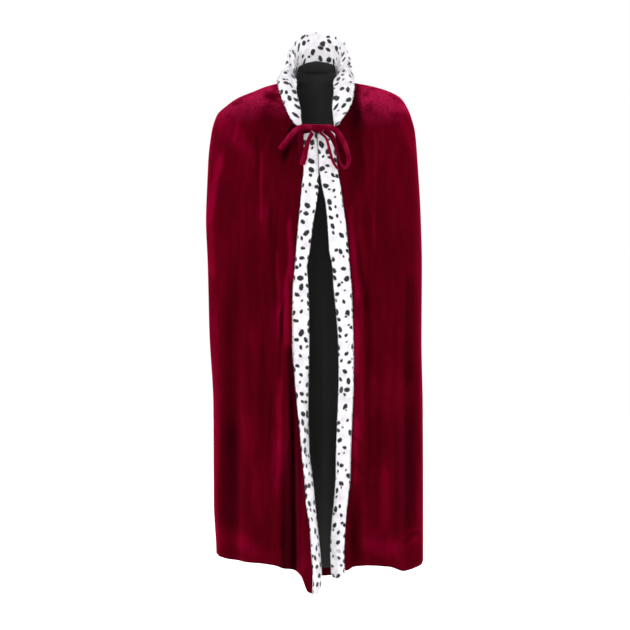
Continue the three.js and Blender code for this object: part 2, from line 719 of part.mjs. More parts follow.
function band(side, material) {
  const hemLine = hemAt(edgeAngle(side, hemAt(side.sign * HEM_FRONT)));
  const rings = [];
  for (let i = 0; i <= ROWS; i += 1) {
    rings.push(bandRing(side, rowHeight(BAND_TOP, hemLine, i), 1));
  }
  for (const { drop, grow } of BAND_END) {
    rings.push(bandRing(side, mix(hemLine, BAND_FOOT[side.name], drop), grow));
  }
  return loft(`band_${side.name}`, material, rings);
}

// A run of ribbon along its table of points
function ribbon(run, material) {
  const path = new THREE.CatmullRomCurve3(
    run.points.map((p) => new THREE.Vector3(p.x, p.y, p.z)),
  );
  const steps = (run.points.length - 1) * RIBBON_STEPS;
  const rings = [];
  for (let i = 0; i <= steps; i += 1) {
    const at = i / RIBBON_STEPS;
    const [from, to] = [run.points[Math.floor(at)], run.points[Math.ceil(at)]];
    const lie = rad(mix(from.lie, to.lie, at % 1));
    const lean = rad(mix(from.lean, to.lean, at % 1));
    const along = path.getTangent(i / steps);
    const width = new THREE.Vector3(
      Math.cos(lie) * Math.cos(lean),
      -Math.sin(lean),
      Math.sin(lie) * Math.cos(lean),
    );
    width.addScaledVector(along, -width.dot(along)).normalize();
    const depth = along.clone().cross(width);
    const corner = (w, d) =>
      path
        .getPoint(i / steps)
        .addScaledVector(width, (w * run.width) / 2)
        .addScaledVector(depth, (d * RIBBON_THICKNESS) / 2);
    rings.push([corner(-1, -1), corner(1, -1), corner(1, 1), corner(-1, 1)]);
  }
  return loft(run.name, material, rings);
}

function knot(material) {
  const geometry = new THREE.SphereGeometry(0.5, 14, 10);
  geometry.scale(KNOT.wide, KNOT.deep, KNOT.high);
  geometry.translate(KNOT.x, KNOT.y, KNOT.z);
  const mesh = new THREE.Mesh(geometry, material);
  mesh.name = 'tie_knot';
  return mesh;
}

const velvet = new THREE.MeshStandardMaterial({ color: 0x5e0014, roughness: 0.85, metalness: 0 });
const ribbonVelvet = new THREE.MeshStandardMaterial({ color: 0x84001f, roughness: 0.6, metalness: 0 });
const satin = new THREE.MeshStandardMaterial({ color: 0x1c1c1e, roughness: 0.6, metalness: 0 });
const fur = new THREE.MeshStandardMaterial({ color: 0xf1eff2, roughness: 0.95, metalness: 0 });

const mantle = new THREE.Group();
mantle.add(backPanel(velvet), lining(satin), collar(fur));
for (const side of SIDES) {
  mantle.add(frontPanel(side, velvet), band(side, fur));
}
for (const run of RUNS) mantle.add(ribbon(run, ribbonVelvet));
mantle.add(knot(ribbonVelvet));

export default mantle;
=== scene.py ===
import json
import math

import bpy
import numpy as np
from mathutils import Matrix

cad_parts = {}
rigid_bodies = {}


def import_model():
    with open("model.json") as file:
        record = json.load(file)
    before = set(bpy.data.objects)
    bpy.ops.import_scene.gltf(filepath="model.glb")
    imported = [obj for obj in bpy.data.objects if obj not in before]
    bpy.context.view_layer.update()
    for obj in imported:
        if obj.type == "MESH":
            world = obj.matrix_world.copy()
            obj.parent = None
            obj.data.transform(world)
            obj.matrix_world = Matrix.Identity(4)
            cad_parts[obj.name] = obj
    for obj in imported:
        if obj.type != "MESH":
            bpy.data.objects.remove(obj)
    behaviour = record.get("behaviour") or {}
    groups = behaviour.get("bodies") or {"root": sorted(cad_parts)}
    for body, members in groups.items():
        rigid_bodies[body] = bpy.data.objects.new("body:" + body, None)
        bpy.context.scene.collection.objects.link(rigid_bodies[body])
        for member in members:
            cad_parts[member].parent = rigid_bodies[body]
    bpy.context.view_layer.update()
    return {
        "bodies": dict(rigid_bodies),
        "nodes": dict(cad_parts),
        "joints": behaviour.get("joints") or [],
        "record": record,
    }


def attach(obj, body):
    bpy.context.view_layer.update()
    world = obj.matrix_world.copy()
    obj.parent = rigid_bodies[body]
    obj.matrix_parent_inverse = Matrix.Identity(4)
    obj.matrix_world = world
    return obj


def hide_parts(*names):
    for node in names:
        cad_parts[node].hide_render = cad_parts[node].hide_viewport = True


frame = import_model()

# The royal mantle's looks. Tables and shapes are in millimetres, in the part's frame: +Z up,
# the wearer faces -Y, and angles run round the body from the front towards the wearer's left.
# Materials, floor and lights are in metres.
MM = 0.001

# Cloth thicknesses, gaps and edges, as in the part
VELVET = 2
LINING = 1
SEAM_GAP = 0.3
COLLAR_CLEARANCE = 0.8
SIDE_SEAM = 92  # degrees from the front
ROUNDNESS = 2.5  # how square a section is: 2 is an ellipse
BAND_TOP = -101
BAND_FOOT = {"right": -1202, "left": -1157}
HEM_CORNER = 5  # degrees from the front, where a band first looks for the hem
HEM_TURNING = 20  # how high the velvet is turned up inside the hem


def table(names, *rows):
    """Columns of a table by name."""
    return {name: np.array([row[i] for row in rows], float) for i, name in enumerate(names.split())}


# Half widths and depths of the cloak without its folds
SECTIONS = table(
    "z right left front back",
    (-1230, 238, 257, 153, 164),
    (-1110, 239, 257, 151, 161),
    (-990, 245, 257, 149, 157),
    (-760, 246, 256, 146, 150),
    (-600, 252, 253, 144, 146),
    (-420, 257, 254, 139, 141),
    (-300, 262, 251, 132, 137),
    (-180, 259, 244, 118, 131),
    (-105, 251, 238, 104, 123),
    (-62, 238, 227, 93, 115),
    (-36, 211, 215, 84, 109),
    (-20, 187, 203, 77, 105),
    (-6, 153, 179, 66, 100),
    (8, 118, 134, 51, 94),
    (18, 79, 82, 40, 90),
    (28, 56, 55, 30, 86),
    (44, 58, 59, 26, 81),
    (62, 61, 63, 24, 78),
)
# Heights of the hem, at angles from the front
HEM = table(
    "angle right left",
    (0, -1190, -1137),
    (7, -1184, -1137),
    (14, -1148, -1137),
    (26, -1133, -1136),
    (34, -1124, -1124),
    (52, -1118, -1128),
    (66, -1117, -1144),
    (80, -1109, -1132),
    (92, -1108, -1112),
    (110, -1132, -1138),
    (123, -1141, -1151),
    (147, -1155, -1162),
    (157, -1162, -1171),
    (166, -1177, -1183),
    (180, -1186, -1186),
)
# Where each fur band's seam and edge run, and how far back its edge lies
BANDS = table(
    "z rightSeam rightEdge rightBack leftSeam leftEdge leftBack",
    (-1250, -13, 2, 38, 72, 40, 26),
    (-1190, -9, 9, 38, 72, 39, 26),
    (-1150, -8, 12, 38, 69, 36, 24),
    (-1095, -12, 8, 39, 67, 33, 22),
    (-1030, -16, 1, 39, 70, 36, 22),
    (-980, -24, -4, 38, 75, 41, 20),
    (-920, -28, -10, 39, 81, 45, 18),
    (-860, -34, -18, 39, 82, 46, 18),
    (-780, -42, -19, 34, 85, 49, 18),
    (-690, -51, -17, 22, 88, 52, 18),
    (-610, -56, -15, 15, 88, 51, 17),
    (-545, -56, -15, 14, 86, 47, 16),
    (-475, -55, -17, 14, 84, 40, 14),
    (-430, -51, -20, 14, 80, 37, 12),
    (-390, -48, -14, 13, 77, 30, 10),
    (-320, -42, -5, 10, 70, 25, 8),
    (-280, -38, 2, 8, 64, 21, 7),
    (-235, -34, 7, 6, 58, 12, 6),
    (-195, -29, 5.6, 5, 50, 7.2, 5),
    (-90, -30, 1, 2, 42, 2.6, 2),
)
GONE = (-1400, -1500)  # below the hem, for a fold that runs to it
FOLD_FOOT = -1150  # the height where a fold has all of its drift and spread
# Each fold's angle, drift, half width and spread in degrees, how far it stands out, and the heights
# where it starts, is full, is last full and is gone
FOLDS = (
    (-46, 0, 3.5, 0, 4, -60, -170, -270, -380),
    (-40, -1, 5, 1, -6, -260, -450, -620, -820),
    (-23, -9, 5, 1.5, 12, -400, -620, -820, -1080),
    (-22, 2, 5, 4.5, -44, -620, -980, *GONE),
    (-13, 8, 6, 2, 7, -640, -860, *GONE),
    (-62, -1, 9, 4, -14, -430, -800, *GONE),
    (-49, 0, 7, 1, 6, -560, -850, *GONE),
    (-80, -1, 9, 0, 5, -160, -330, -560, -780),
    (46, 0, 3.5, 0, 4, -60, -170, -320, -450),
    (37, 0, 4, 0, 5, -230, -310, -350, -450),
    (35, -2, 5, 2, 8, -400, -520, -900, -1100),
    (41, 1, 5, 2, -9, -400, -540, -800, -1050),
    (52, -1, 6, 1, 6, -560, -850, *GONE),
    (68, 0, 9, 4, -15, -430, -800, *GONE),
    (29, 0, 6, 2, -10, -850, -1080, *GONE),
    (105, -1, 8, 2, -8, -330, -900, *GONE),
    (122, -1, 8, 3, 9, -260, -820, *GONE),
    (139, 0, 8, 2, -10, -300, -900, *GONE),
    (155, 1, 7, 3, 8, -210, -760, *GONE),
    (171, 0, 8, 2, -9, -280, -860, *GONE),
    (187, -1, 8, 2, 8, -230, -800, *GONE),
    (203, 0, 8, 2, -10, -300, -920, *GONE),
    (219, 1, 8, 2, 9, -250, -800, *GONE),
    (236, 1, 8, 3, -9, -320, -900, *GONE),
    (253, 1, 7, 3, 8, -280, -860, *GONE),
)
# The collar from its ends to the back: its root's height and angle, where its edge lies, how far it
# bulges and rolls over, and its share of the full thickness
COLLAR = table(
    "z rightAt rightOut rightTip leftAt leftOut leftTip back bulge rightOver leftOver full",
    (-97, 17.5, 45, -96, 22.3, 54, -93, -107, 0, 1, 1, 0.5),
    (-78, 20, 58, -84, 22.8, 66, -76, -103, 1, 2, 2, 0.75),
    (-60, 22, 69, -64, 23.4, 78, -58, -98, 3, 3, 3, 0.9),
    (-43, 26, 76, -47, 25.5, 84, -47, -93, 5, 4, 4, 1),
    (-26, 31, 82, -31, 29, 88, -33, -86, 7, 5, 5, 1),
    (-9, 37.5, 88, -14, 34, 90, -16, -75, 9, 7, 6, 1),
    (6, 44.5, 91, 2, 40, 91, 1, -58, 11, 7, 5, 1),
    (17, 53, 93, 14, 49, 91, 17, -38, 13, 4, 3, 1),
    (23, 63, 89, 24, 60, 91, 28, -19, 14, 2, 0, 1),
    (27, 75, 83, 38, 73, 89, 43, 1, 13, 1, 0, 1),
    (29, 92, 77, 60, 92, 88, 62, 25, 11, 0, 0, 1),
    (32.5, 108, 73, 82, 108, 84, 86, 44, 8, 0, 0, 0.95),
    (37, 124, 68, 102, 124, 79, 108, 62, 5, 0, 0, 0.85),
    (41.5, 140, 57, 123, 140, 70, 127, 78, 3, 0, 0, 0.8),
    (45.5, 154, 41, 139, 154, 52, 141, 90, 2, 0, 0, 0.8),
    (48.5, 167, 21, 148, 167, 28, 148, 98, 2, 0, 0, 0.8),
    (50, 180, 0, 151, 180, 0, 151, 102, 2, 0, 0, 0.8),
)
# Thickness from the collar's root, 0, to its edge, 1
COLLAR_THICKNESS = table("along thick", (0, 7), (0.35, 10), (0.7, 12), (0.92, 10))
COLLAR_TIP = 4
# How far the lining rises on to the collar
LINING_RISE = table(
    "angle right left", (107, 0, 0), (112, 1, 4), (118, 4, 9), (124, 11, 16), (131, 18, 20), (180, 25, 25)
)
LINING_FROM_COLLAR = 2.5
LINING_TUCK = -1.5  # how far below the collar's root it turns down
BAND_SECTION = (
    # share of the width, millimetres more, how far out
    (0, 4, 6),
    (0.3, 0, 7.5),
    (0.65, 0, 7.5),
    (1, -4, 6),
    (1, 0, 2),
    (1, -3, -2.5),
    (0.6, 0, -3.5),
    (0.3, 0, -3.5),
)
# A band's size, at shares of the way from the hem to its foot
BAND_END = ((0.3, 1), (0.6, 0.97), (0.8, 0.9), (0.9, 0.8), (0.96, 0.66), (1, 0.45))
RIBBON_THICKNESS = 1.6
KNOT = {"x": 4, "y": -118.2, "z": -103.5, "wide": 28, "deep": 10, "high": 19}
# Each ribbon's width, then its route: x, y, z, and how the ribbon lies and leans, in degrees
RUNS = {}
RUNS["tie_tape"] = (
    12,
    (-47, -106.7, -106, 100, 0),
    (-38, -110.8, -103.5, 98, 0),
    (-27, -111.9, -100.5, 94, 0),
    (-10, -111.9, -98.8, 90, 0),
    (12, -111.9, -98.8, 90, 0),
    (32, -111.9, -100, 90, 0),
    (46, -109.3, -103, 90, 0),
)
RUNS["tie_loop_right"] = (
    13,
    (-9.6, -120.5, -101, 90, 0),
    (-30, -123, -99.5, 100, 0),
    (-48, -122.5, -108, 125, 0),
    (-66, -122, -128, 140, 0),
    (-80, -120.5, -146, 140, 0),
    (-84, -117, -151, 140, 0),
    (-79, -114, -149, 140, 0),
    (-66, -114.5, -137, 138, 0),
    (-50, -115.5, -121, 130, 0),
    (-34, -117.5, -110, 110, 0),
    (-12, -116.8, -106, 95, 0),
)
RUNS["tie_loop_left"] = (
    14,
    (18.4, -120, -101, -90, 0),
    (36, -123, -102, -100, 5),
    (52, -124, -115, -130, 15),
    (64, -125.5, -135, -150, 25),
    (73, -128, -160, -168, 35),
    (76, -131, -184, -190, 50),
    (68, -133, -196, -260, 65),
    (58, -133, -187, -320, 70),
    (51, -130, -165, -345, 70),
    (45, -126, -143, -340, 55),
    (36, -121, -121, -325, 25),
    (19.5, -116.5, -106.5, -290, 0),
)
RUNS["tie_hang_right"] = (
    13,
    (-8, -119, -113, 170, 50),
    (-16, -124, -127, 165, 50),
    (-22, -127.5, -146, 165, 35),
    (-27, -130, -168, 170, 10),
    (-31, -130.5, -184, 175, 0),
    (-32, -128.5, -188, 180, 0),
    (-33, -126.5, -184, 180, 0),
    (-34, -125, -168, 180, 0),
    (-35, -123, -146, 180, 0),
    (-35.5, -121, -125, 180, 0),
    (-35, -120.3, -106, 180, 0),
)
RUNS["tie_tail_left"] = (
    12,
    (10, -118.2, -113.2, 200, 50),
    (23.4, -123, -126, 205, 58),
    (30.5, -127, -149, 198, 58),
    (36.6, -131, -172, 200, 58),
    (42, -134, -186, 210, 58),
    (51, -136, -199, 220, 58),
)


# Shape functions

join = np.concatenate


def ease(t):
    s = np.clip(t, 0, 1)
    return s * s * (3 - 2 * s)


def mix(a, b, t):
    return a + (b - a) * t


def unit(v):
    return v / np.linalg.norm(v, axis=-1, keepdims=True)


def length_of(v):
    return np.linalg.norm(v, axis=-1)


def curve(at, value):
    """A smooth curve through one column of a table, that never overshoots its rows."""
    slope = np.diff(value) / np.diff(at)
    tangent = join([slope[:1], np.zeros(len(at) - 2), slope[-1:]])
    product = slope[:-1] * slope[1:]
    total = np.where(product > 0, slope[:-1] + slope[1:], 1)
    tangent[1:-1] = np.where(product > 0, 2 * product / total, 0)

    def read(x):
        x = np.clip(np.asarray(x, float), at[0], at[-1])
        i = np.clip(np.searchsorted(at, x, side="left") - 1, 0, len(at) - 2)
        span = at[i + 1] - at[i]
        t = (x - at[i]) / span
        h = t * t * (3 - 2 * t)
        turn = span * t * (1 - t) * (tangent[i] * (1 - t) - tangent[i + 1] * t)
        return value[i] * (1 - h) + value[i + 1] * h + turn

    return read


SIGN = {"right": -1, "left": 1}
half_width = {side: curve(SECTIONS["z"], SECTIONS[side]) for side in SIGN}
front_depth = curve(SECTIONS["z"], SECTIONS["front"])
back_depth = curve(SECTIONS["z"], SECTIONS["back"])
neckline = {side: curve(COLLAR[side + "At"], COLLAR["z"]) for side in SIGN}
hem = {side: curve(HEM["angle"], HEM[side]) for side in SIGN}
band_curve = {
    side: {part: curve(BANDS["z"], BANDS[side + part]) for part in ("Seam", "Edge", "Back")}
    for side in SIGN
}
STATION = np.arange(len(COLLAR["back"]), dtype=float)
collar_column = {name: curve(STATION, column) for name, column in COLLAR.items()}
station_at = {side: curve(COLLAR[side + "At"], STATION) for side in SIGN}
collar_thickness = curve(COLLAR_THICKNESS["along"], COLLAR_THICKNESS["thick"])
lining_rise = {side: curve(LINING_RISE["angle"], LINING_RISE[side]) for side in SIGN}


def wrapped(angle):
    return (np.asarray(angle, float) + 180) % 360 - 180


def by_side(curves, angle):
    """A curve of the side that the angle is on, read at its distance from the front."""
    turned = wrapped(angle)
    away = np.abs(turned)
    return np.where(turned < 0, curves["right"](away), curves["left"](away))


def neckline_at(angle):
    return by_side(neckline, angle)


def hem_at(angle):
    return by_side(hem, angle)


def section_point(angle, z):
    """A point of the cloak's surface without its folds."""
    angle, z = np.broadcast_arrays(np.asarray(angle, float), np.asarray(z, float))
    s, c = np.sin(np.radians(angle)), np.cos(np.radians(angle))
    across = np.abs(s) / np.where(s < 0, half_width["right"](z), half_width["left"](z))
    deep = np.abs(c) / np.where(c > 0, front_depth(z), back_depth(z))
    radius = (across**ROUNDNESS + deep**ROUNDNESS) ** (-1 / ROUNDNESS)
    return np.stack([radius * s, -radius * c, z], -1)


def fold_at(angle, z, folds):
    out = np.zeros(np.broadcast(angle, z).shape)
    for at, drift, half, spread, most, top, full, last, gone in folds:
        down = np.clip((top - z) / (top - FOLD_FOOT), 0, 1)
        away = wrapped(angle - at - drift * down) / (half + spread * down)
        bump = np.where(np.abs(away) < 1, np.cos(np.clip(away, -1, 1) * math.pi / 2) ** 2, 0)
        begun = ease((top - z) / (top - full))
        out = out + most * bump * begun * (1 - ease((last - z) / (last - gone)))
    return out


# Finer folds and creases that only the looks have, in the same columns
CREASES = (
    (-54, 0, 5, 2, 3, -200, -400, *GONE),
    (-34, -4, 3, 0, -3, -230, -330, -860, -980),
    (-29, -6, 2.5, 0, 3.5, -200, -300, -860, -980),
    (-16, 4, 2, 1, -3, -560, -700, *GONE),
    (47, 0, 3, 1, -2.5, -420, -560, *GONE),
)

# Painted light on the velvet, in strokes as seen from the front: painted highlights on its edges, ridges,
# shoulders and hem, and painted shade in its valleys, beside the collar and under the bow. From x, z,
# to x, z, half width, and value: above 0 a painted highlight, below 0 painted shade
PAINTED_LIGHT_STROKES = (
    (-226, -67, -192, -120, 30, 0.5),
    (-178, -53, -194, -120, 8, 0.4),
    (-235, -173, -254, -281, 13, 0.9),
    (-252, -281, -250, -413, 12, 0.5),
    (-134, -144, -130, -295, 4.5, 0.6),
    (-144, -120, -142, -206, 7, -0.4),
    (-106, -281, -101, -480, 10, -0.35),
    (-122, -264, -130, -576, 14, 0.15),
    (-62, -331, -60, -444, 9, 0.9),
    (-67, -437, -89, -521, 6, 0.6),
    (-74, -473, -72, -600, 8, 0.8),
    (-94, -384, -91, -576, 5, 0.35),
    (-84, -528, -84, -588, 5, -0.5),
    (-204, -504, -206, -823, 26, -0.35),
    (-245, -504, -240, -912, 12, 0.25),
    (-86, -696, -89, -847, 9, 0.8),
    (-91, -860, -96, -936, 9, 0.3),
    (-62, -636, -58, -840, 8, -1.2),
    (-60, -744, -53, -936, 7, -0.8),
    (-60, -924, -62, -1116, 27, -1.5),
    (-206, -888, -204, -1008, 38, -0.55),
    (-226, -1063, -182, -1092, 28, 0.45),
    (-182, -1092, -98, -1109, 22, 0.15),
    (-146, -936, -142, -1015, 15, 0.35),
    (-36, -936, -29, -1152, 10, 0.3),
    (-64, -115, -72, -141, 13, -1.7),
    (92, -5, 90, -60, 26, -0.75),
    (98, -101, 101, -204, 22, -0.45),
    (197, -36, 230, -132, 17, 0.55),
    (142, -115, 142, -379, 4.5, 0.3),
    (86, -300, 96, -499, 9, 0.6),
    (101, -384, 118, -521, 7, -0.45),
    (223, -480, 221, -677, 17, -0.6),
    (230, -689, 230, -799, 22, -0.2),
    (212, -857, 212, -1020, 36, -0.6),
    (96, -576, 98, -677, 9, 0.7),
    (96, -816, 94, -936, 9, 0.7),
    (89, -840, 110, -869, 4.5, -0.5),
    (89, -900, 108, -931, 4.5, -0.5),
    (161, -917, 163, -1015, 14, 0.2),
    (135, -696, 135, -780, 12, 0.2),
    (166, -1092, 230, -1080, 30, 0.45),
    (96, -1037, 98, -1109, 18, -0.6),
    (221, -1080, 247, -1078, 7, -0.8),
    (245, -912, 247, -1032, 9, 0.4),
)
# Painted light and dark streaks on the back, standing in for the shading of its folds, in the same
# columns as the folds
BACK_PAINTED_STREAKS = (
    (100, 1, 4, 2, 0.35, -120, -300, -700, -1000),
    (112, -1, 5, 2, -0.4, -80, -240, -760, -1050),
    (124, 1, 3, 2, 0.45, -60, -200, -640, -900),
    (133, 0, 4, 1, -0.35, -100, -330, *GONE),
    (146, -1, 3, 2, 0.5, -40, -170, -560, -820),
    (152, 1, 4, 1, -0.4, -200, -420, *GONE),
    (163, 0, 3, 2, 0.35, -70, -260, -700, -980),
    (176, 1, 5, 1, -0.35, -60, -220, -620, -900),
    (182, 0, 2.5, 2, 0.5, -90, -280, -800, -1080),
    (194, -1, 4, 1, -0.3, -140, -360, -760, -1000),
    (206, 0, 3, 2, 0.45, -50, -180, -600, -880),
    (216, 1, 4, 2, -0.4, -90, -260, *GONE),
    (227, -1, 3, 1, 0.4, -60, -220, -640, -940),
    (239, 0, 5, 2, -0.4, -120, -340, -780, -1060),
    (248, 1, 3, 2, 0.4, -80, -260, -700, -960),
    (260, 0, 4, 1, -0.3, -160, -400, *GONE),
)
SEAM_DRAWS_IN = 0.7  # degrees on each side of a side seam
STROKE_FADE = 1.15  # half widths from its middle, where a stroke is gone
STROKE_END = 0.35  # a stroke fades this much more slowly past its ends
STROKE_SWAYS = ((2, 61, 0.6), (1, 17, 2))  # how far sideways, over what height, its phase
STROKE_DIP = (12, 23)  # how far up and down, over what width
# Painted light by the folds: lighter on their ridges, darker in their valleys
PAINTED_LIGHT_BY_FOLD = {"front": 0.012, "back": 0.06}  # for each millimetre that a fold stands out

# The eye that sees the front, and half of what it sees across at the mantle
EYE_X, EYE_FAR, EYE_Z = -2.4, 5000, -540
HALF_VIEW = 756


def painted_light_strokes(points):
    """The sum of the painted light strokes at points of the fronts, each moved to where the eye sees it.
    """
    near = EYE_FAR / (EYE_FAR + points[..., 1])
    x = (points[..., 0] - EYE_X) * near + EYE_X
    z = (points[..., 2] - EYE_Z) * near + EYE_Z
    for far, over, phase in STROKE_SWAYS:
        x = x + far * np.sin(z / over + phase)
    z = z + STROKE_DIP[0] * np.sin(x / STROKE_DIP[1])
    out = 0 * x
    for x0, z0, x1, z1, half, value in PAINTED_LIGHT_STROKES:
        long_way = math.hypot(x1 - x0, z1 - z0)
        dx, dz = (x1 - x0) / long_way, (z1 - z0) / long_way
        along = (x - x0) * dx + (z - z0) * dz
        past = np.maximum(np.abs(along - long_way / 2) - long_way / 2, 0)
        off = (x - x0) * dz - (z - z0) * dx
        out = out + value * ease(STROKE_FADE - np.hypot(off, past * STROKE_END) / half)
    return out


def cloth_point(angle, z):
    """A point of the velvet's outer face, on its folds and creases."""
    step = 0.5
    before = section_point(angle - step, z)
    after = section_point(angle + step, z)
    turn = after - before
    outward = unit(np.stack([turn[..., 1], -turn[..., 0], 0 * turn[..., 2]], -1))
    out = fold_at(angle, z, FOLDS) + fold_at(angle, z, CREASES)
    return section_point(angle, z) + outward * out[..., None]


def cloth_normal(angle, z):
    turn, drop = 0.4, 1
    around = cloth_point(angle + turn, z) - cloth_point(angle - turn, z)
    down = cloth_point(angle, z - drop) - cloth_point(angle, z + drop)
    return unit(np.cross(down, around))


def angle_of_x(x, z):
    """The angle on the front where the surface without folds is at x."""
    half = np.where(x < 0, half_width["right"](z), half_width["left"](z))
    forward = front_depth(z) * (1 - (np.abs(x) / half) ** ROUNDNESS) ** (1 / ROUNDNESS)
    return np.degrees(np.arctan2(x, forward))


def edge_angle(side, z):
    """The angle of a front's edge, where its band is sewn on."""
    return angle_of_x(band_curve[side]["Seam"](np.minimum(z, BAND_TOP)), z)


def band_frame(side, z):
    """A band's seam, ways across and outward, cut against the velvet, and width."""
    z = np.asarray(z, float)
    angle = edge_angle(side, z)
    seam = cloth_point(angle, z)
    span = band_curve[side]["Edge"](z) - seam[..., 0]
    back = band_curve[side]["Back"](z)
    across = unit(np.stack([span, back, 0 * z], -1))
    outward = np.stack([across[..., 1], -across[..., 0], 0 * z], -1) * -SIGN[side]
    cut = unit(cloth_normal(angle, z) + outward)
    return seam, across, outward, cut, np.hypot(span, back)


def collar_frame(side, station):
    """The collar's root, edge, face, swell, bulge and fullness at stations of its table."""
    station = np.asarray(station, float)
    value = {name: column(station) for name, column in collar_column.items()}
    angle = SIGN[side] * value[side + "At"]
    seam = cloth_point(angle, neckline_at(angle))
    edge = np.stack([SIGN[side] * value[side + "Out"], value["back"], value[side + "Tip"]], -1)
    along = unit(edge - seam)
    root = seam + (cloth_normal(angle, seam[..., 2]) + along) * COLLAR_CLEARANCE
    before, after = angle - 1, angle + 1
    around = cloth_point(before, neckline_at(before)) - cloth_point(after, neckline_at(after))
    face = unit(np.cross(around, along))
    lift = np.maximum(-along[..., 2], 0)
    inward = unit(np.stack([-along[..., 0], -along[..., 1], lift], -1))
    swell = root + inward * value[side + "Over"][..., None]
    return root, edge, face, swell, value["bulge"], value["full"]


def collar_point(frame, along, thick):
    """A point of the collar: along from its root, 0, to its edge, 1, and thick outward."""
    root, edge, face, _, bulge, _ = frame
    along = np.broadcast_to(along, bulge.shape)
    roll = bulge * 4 * along * (1 - along)
    return root + (edge - root) * along[:, None] + face * (roll + thick)[:, None]


def catmull(points, sub, closed):
    """Smooth curves through lists of points, along the last axis but one."""
    p = np.asarray(points, float)
    if closed:
        p = join([p[..., -1:, :], p, p[..., :2, :]], -2)
    else:
        first = 2 * p[..., :1, :] - p[..., 1:2, :]
        last = 2 * p[..., -1:, :] - p[..., -2:-1, :]
        p = join([first, p, last], -2)
    gap = np.maximum(np.linalg.norm(np.diff(p, axis=-2), axis=-1, keepdims=True) ** 0.5, 1e-4)
    a, b, c, d = p[..., :-3, :], p[..., 1:-2, :], p[..., 2:-1, :], p[..., 3:, :]
    da, db, dc = gap[..., :-2, :], gap[..., 1:-1, :], gap[..., 2:, :]
    m1 = ((b - a) / da - (c - a) / (da + db) + (c - b) / db) * db
    m2 = ((c - b) / db - (d - b) / (db + dc) + (d - c) / dc) * db
    parts = []
    for t in np.arange(sub) / sub:
        h = (2 * t**3 - 3 * t**2 + 1, t**3 - 2 * t**2 + t, 3 * t**2 - 2 * t**3, t**3 - t**2)
        parts.append(h[0] * b + h[1] * m1 + h[2] * c + h[3] * m2)
    line = np.stack(parts, -2)
    line = line.reshape(line.shape[:-3] + (-1, 3))
    if not closed:
        line = join([line, p[..., -2:-1, :]], -2)
    return line


# Meshes


def new_object(name, data):
    made = bpy.data.objects.new(name, data)
    bpy.context.scene.collection.objects.link(made)
    return made


def mesh_object(name, points, faces, materials, uv=None, index=None, painted_light_and_pile=None):
    """A smooth mesh from points in millimetres; uv and the painted light have one row for each point."""
    mesh = bpy.data.meshes.new(name)
    mesh.from_pydata((points * MM).tolist(), [], faces)
    for material in materials:
        mesh.materials.append(material)
    if index is not None:
        mesh.polygons.foreach_set("material_index", index.astype(np.int32))
    if uv is not None:
        corners = np.empty(len(mesh.loops), np.int32)
        mesh.loops.foreach_get("vertex_index", corners)
        layer = mesh.uv_layers.new(name="UVMap")
        layer.data.foreach_set("uv", uv.astype(np.float32)[corners].ravel())
    # The painted light, painted highlights and painted shade, goes into a point attribute
    if painted_light_and_pile is not None:
        values = mesh.attributes.new("painted_light_and_pile", "FLOAT", "POINT").data
        values.foreach_set("value", painted_light_and_pile.astype(np.float32))
    mesh.polygons.foreach_set("use_smooth", np.ones(len(mesh.polygons), bool))
    mesh.update()
    return new_object(name, mesh)


def stand_for(piece, node):
    """Puts a piece on the one body, in the place of a CAD node, which it hides."""
    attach(piece, "root")
    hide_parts(node)


def grid_faces(rows, columns, flip=False):
    i, j = np.meshgrid(np.arange(rows - 1), np.arange(columns - 1), indexing="ij")
    a = (i * columns + j).ravel()
    quads = np.stack([a, a + columns, a + columns + 1, a + 1], -1)
    return quads[:, ::-1] if flip else quads


def loft_faces(rings, count):
    """Faces between rings of points, each closed on itself."""
    i, k = np.meshgrid(np.arange(rings - 1), np.arange(count), indexing="ij")
    a = (i * count + k).ravel()
    b = (i * count + (k + 1) % count).ravel()
    return np.stack([a, b, b + count, a + count], -1)


def panel_uv(grid):
    """Real lengths in metres across and down a grid of points."""
    across = length_of(np.diff(grid, axis=1))
    down = length_of(np.diff(grid, axis=0))
    u = join([np.zeros((grid.shape[0], 1)), np.cumsum(across, 1)], 1)
    v = join([np.zeros((1, grid.shape[1])), np.cumsum(down, 0)], 0)
    return (np.stack([u, v], -1) * MM).reshape(-1, 2)


def wall(name, outer, inner, outside, inside, painted_light_and_pile=None):
    """A wall of cloth between two grids of points, with a material for each face."""
    rows, columns = outer.shape[:2]
    n = rows * columns
    k = np.arange(n).reshape(rows, columns)
    rim = join([k[0, :-1], k[:-1, -1], k[-1, :0:-1], k[:0:-1, 0]])
    after = np.roll(rim, -1)
    edge = np.stack([rim, after, after + n, rim + n], -1)
    faces = grid_faces(rows, columns), grid_faces(rows, columns, True) + n, edge
    uv = panel_uv(outer)
    return mesh_object(
        name,
        join([outer.reshape(-1, 3), inner.reshape(-1, 3)]),
        join(faces).tolist(),
        (outside, inside),
        join([uv, uv]),
        np.repeat([0, 1, 0], [len(part) for part in faces]),
        None if painted_light_and_pile is None else np.tile(painted_light_and_pile.ravel(), 2),
    )


# Materials


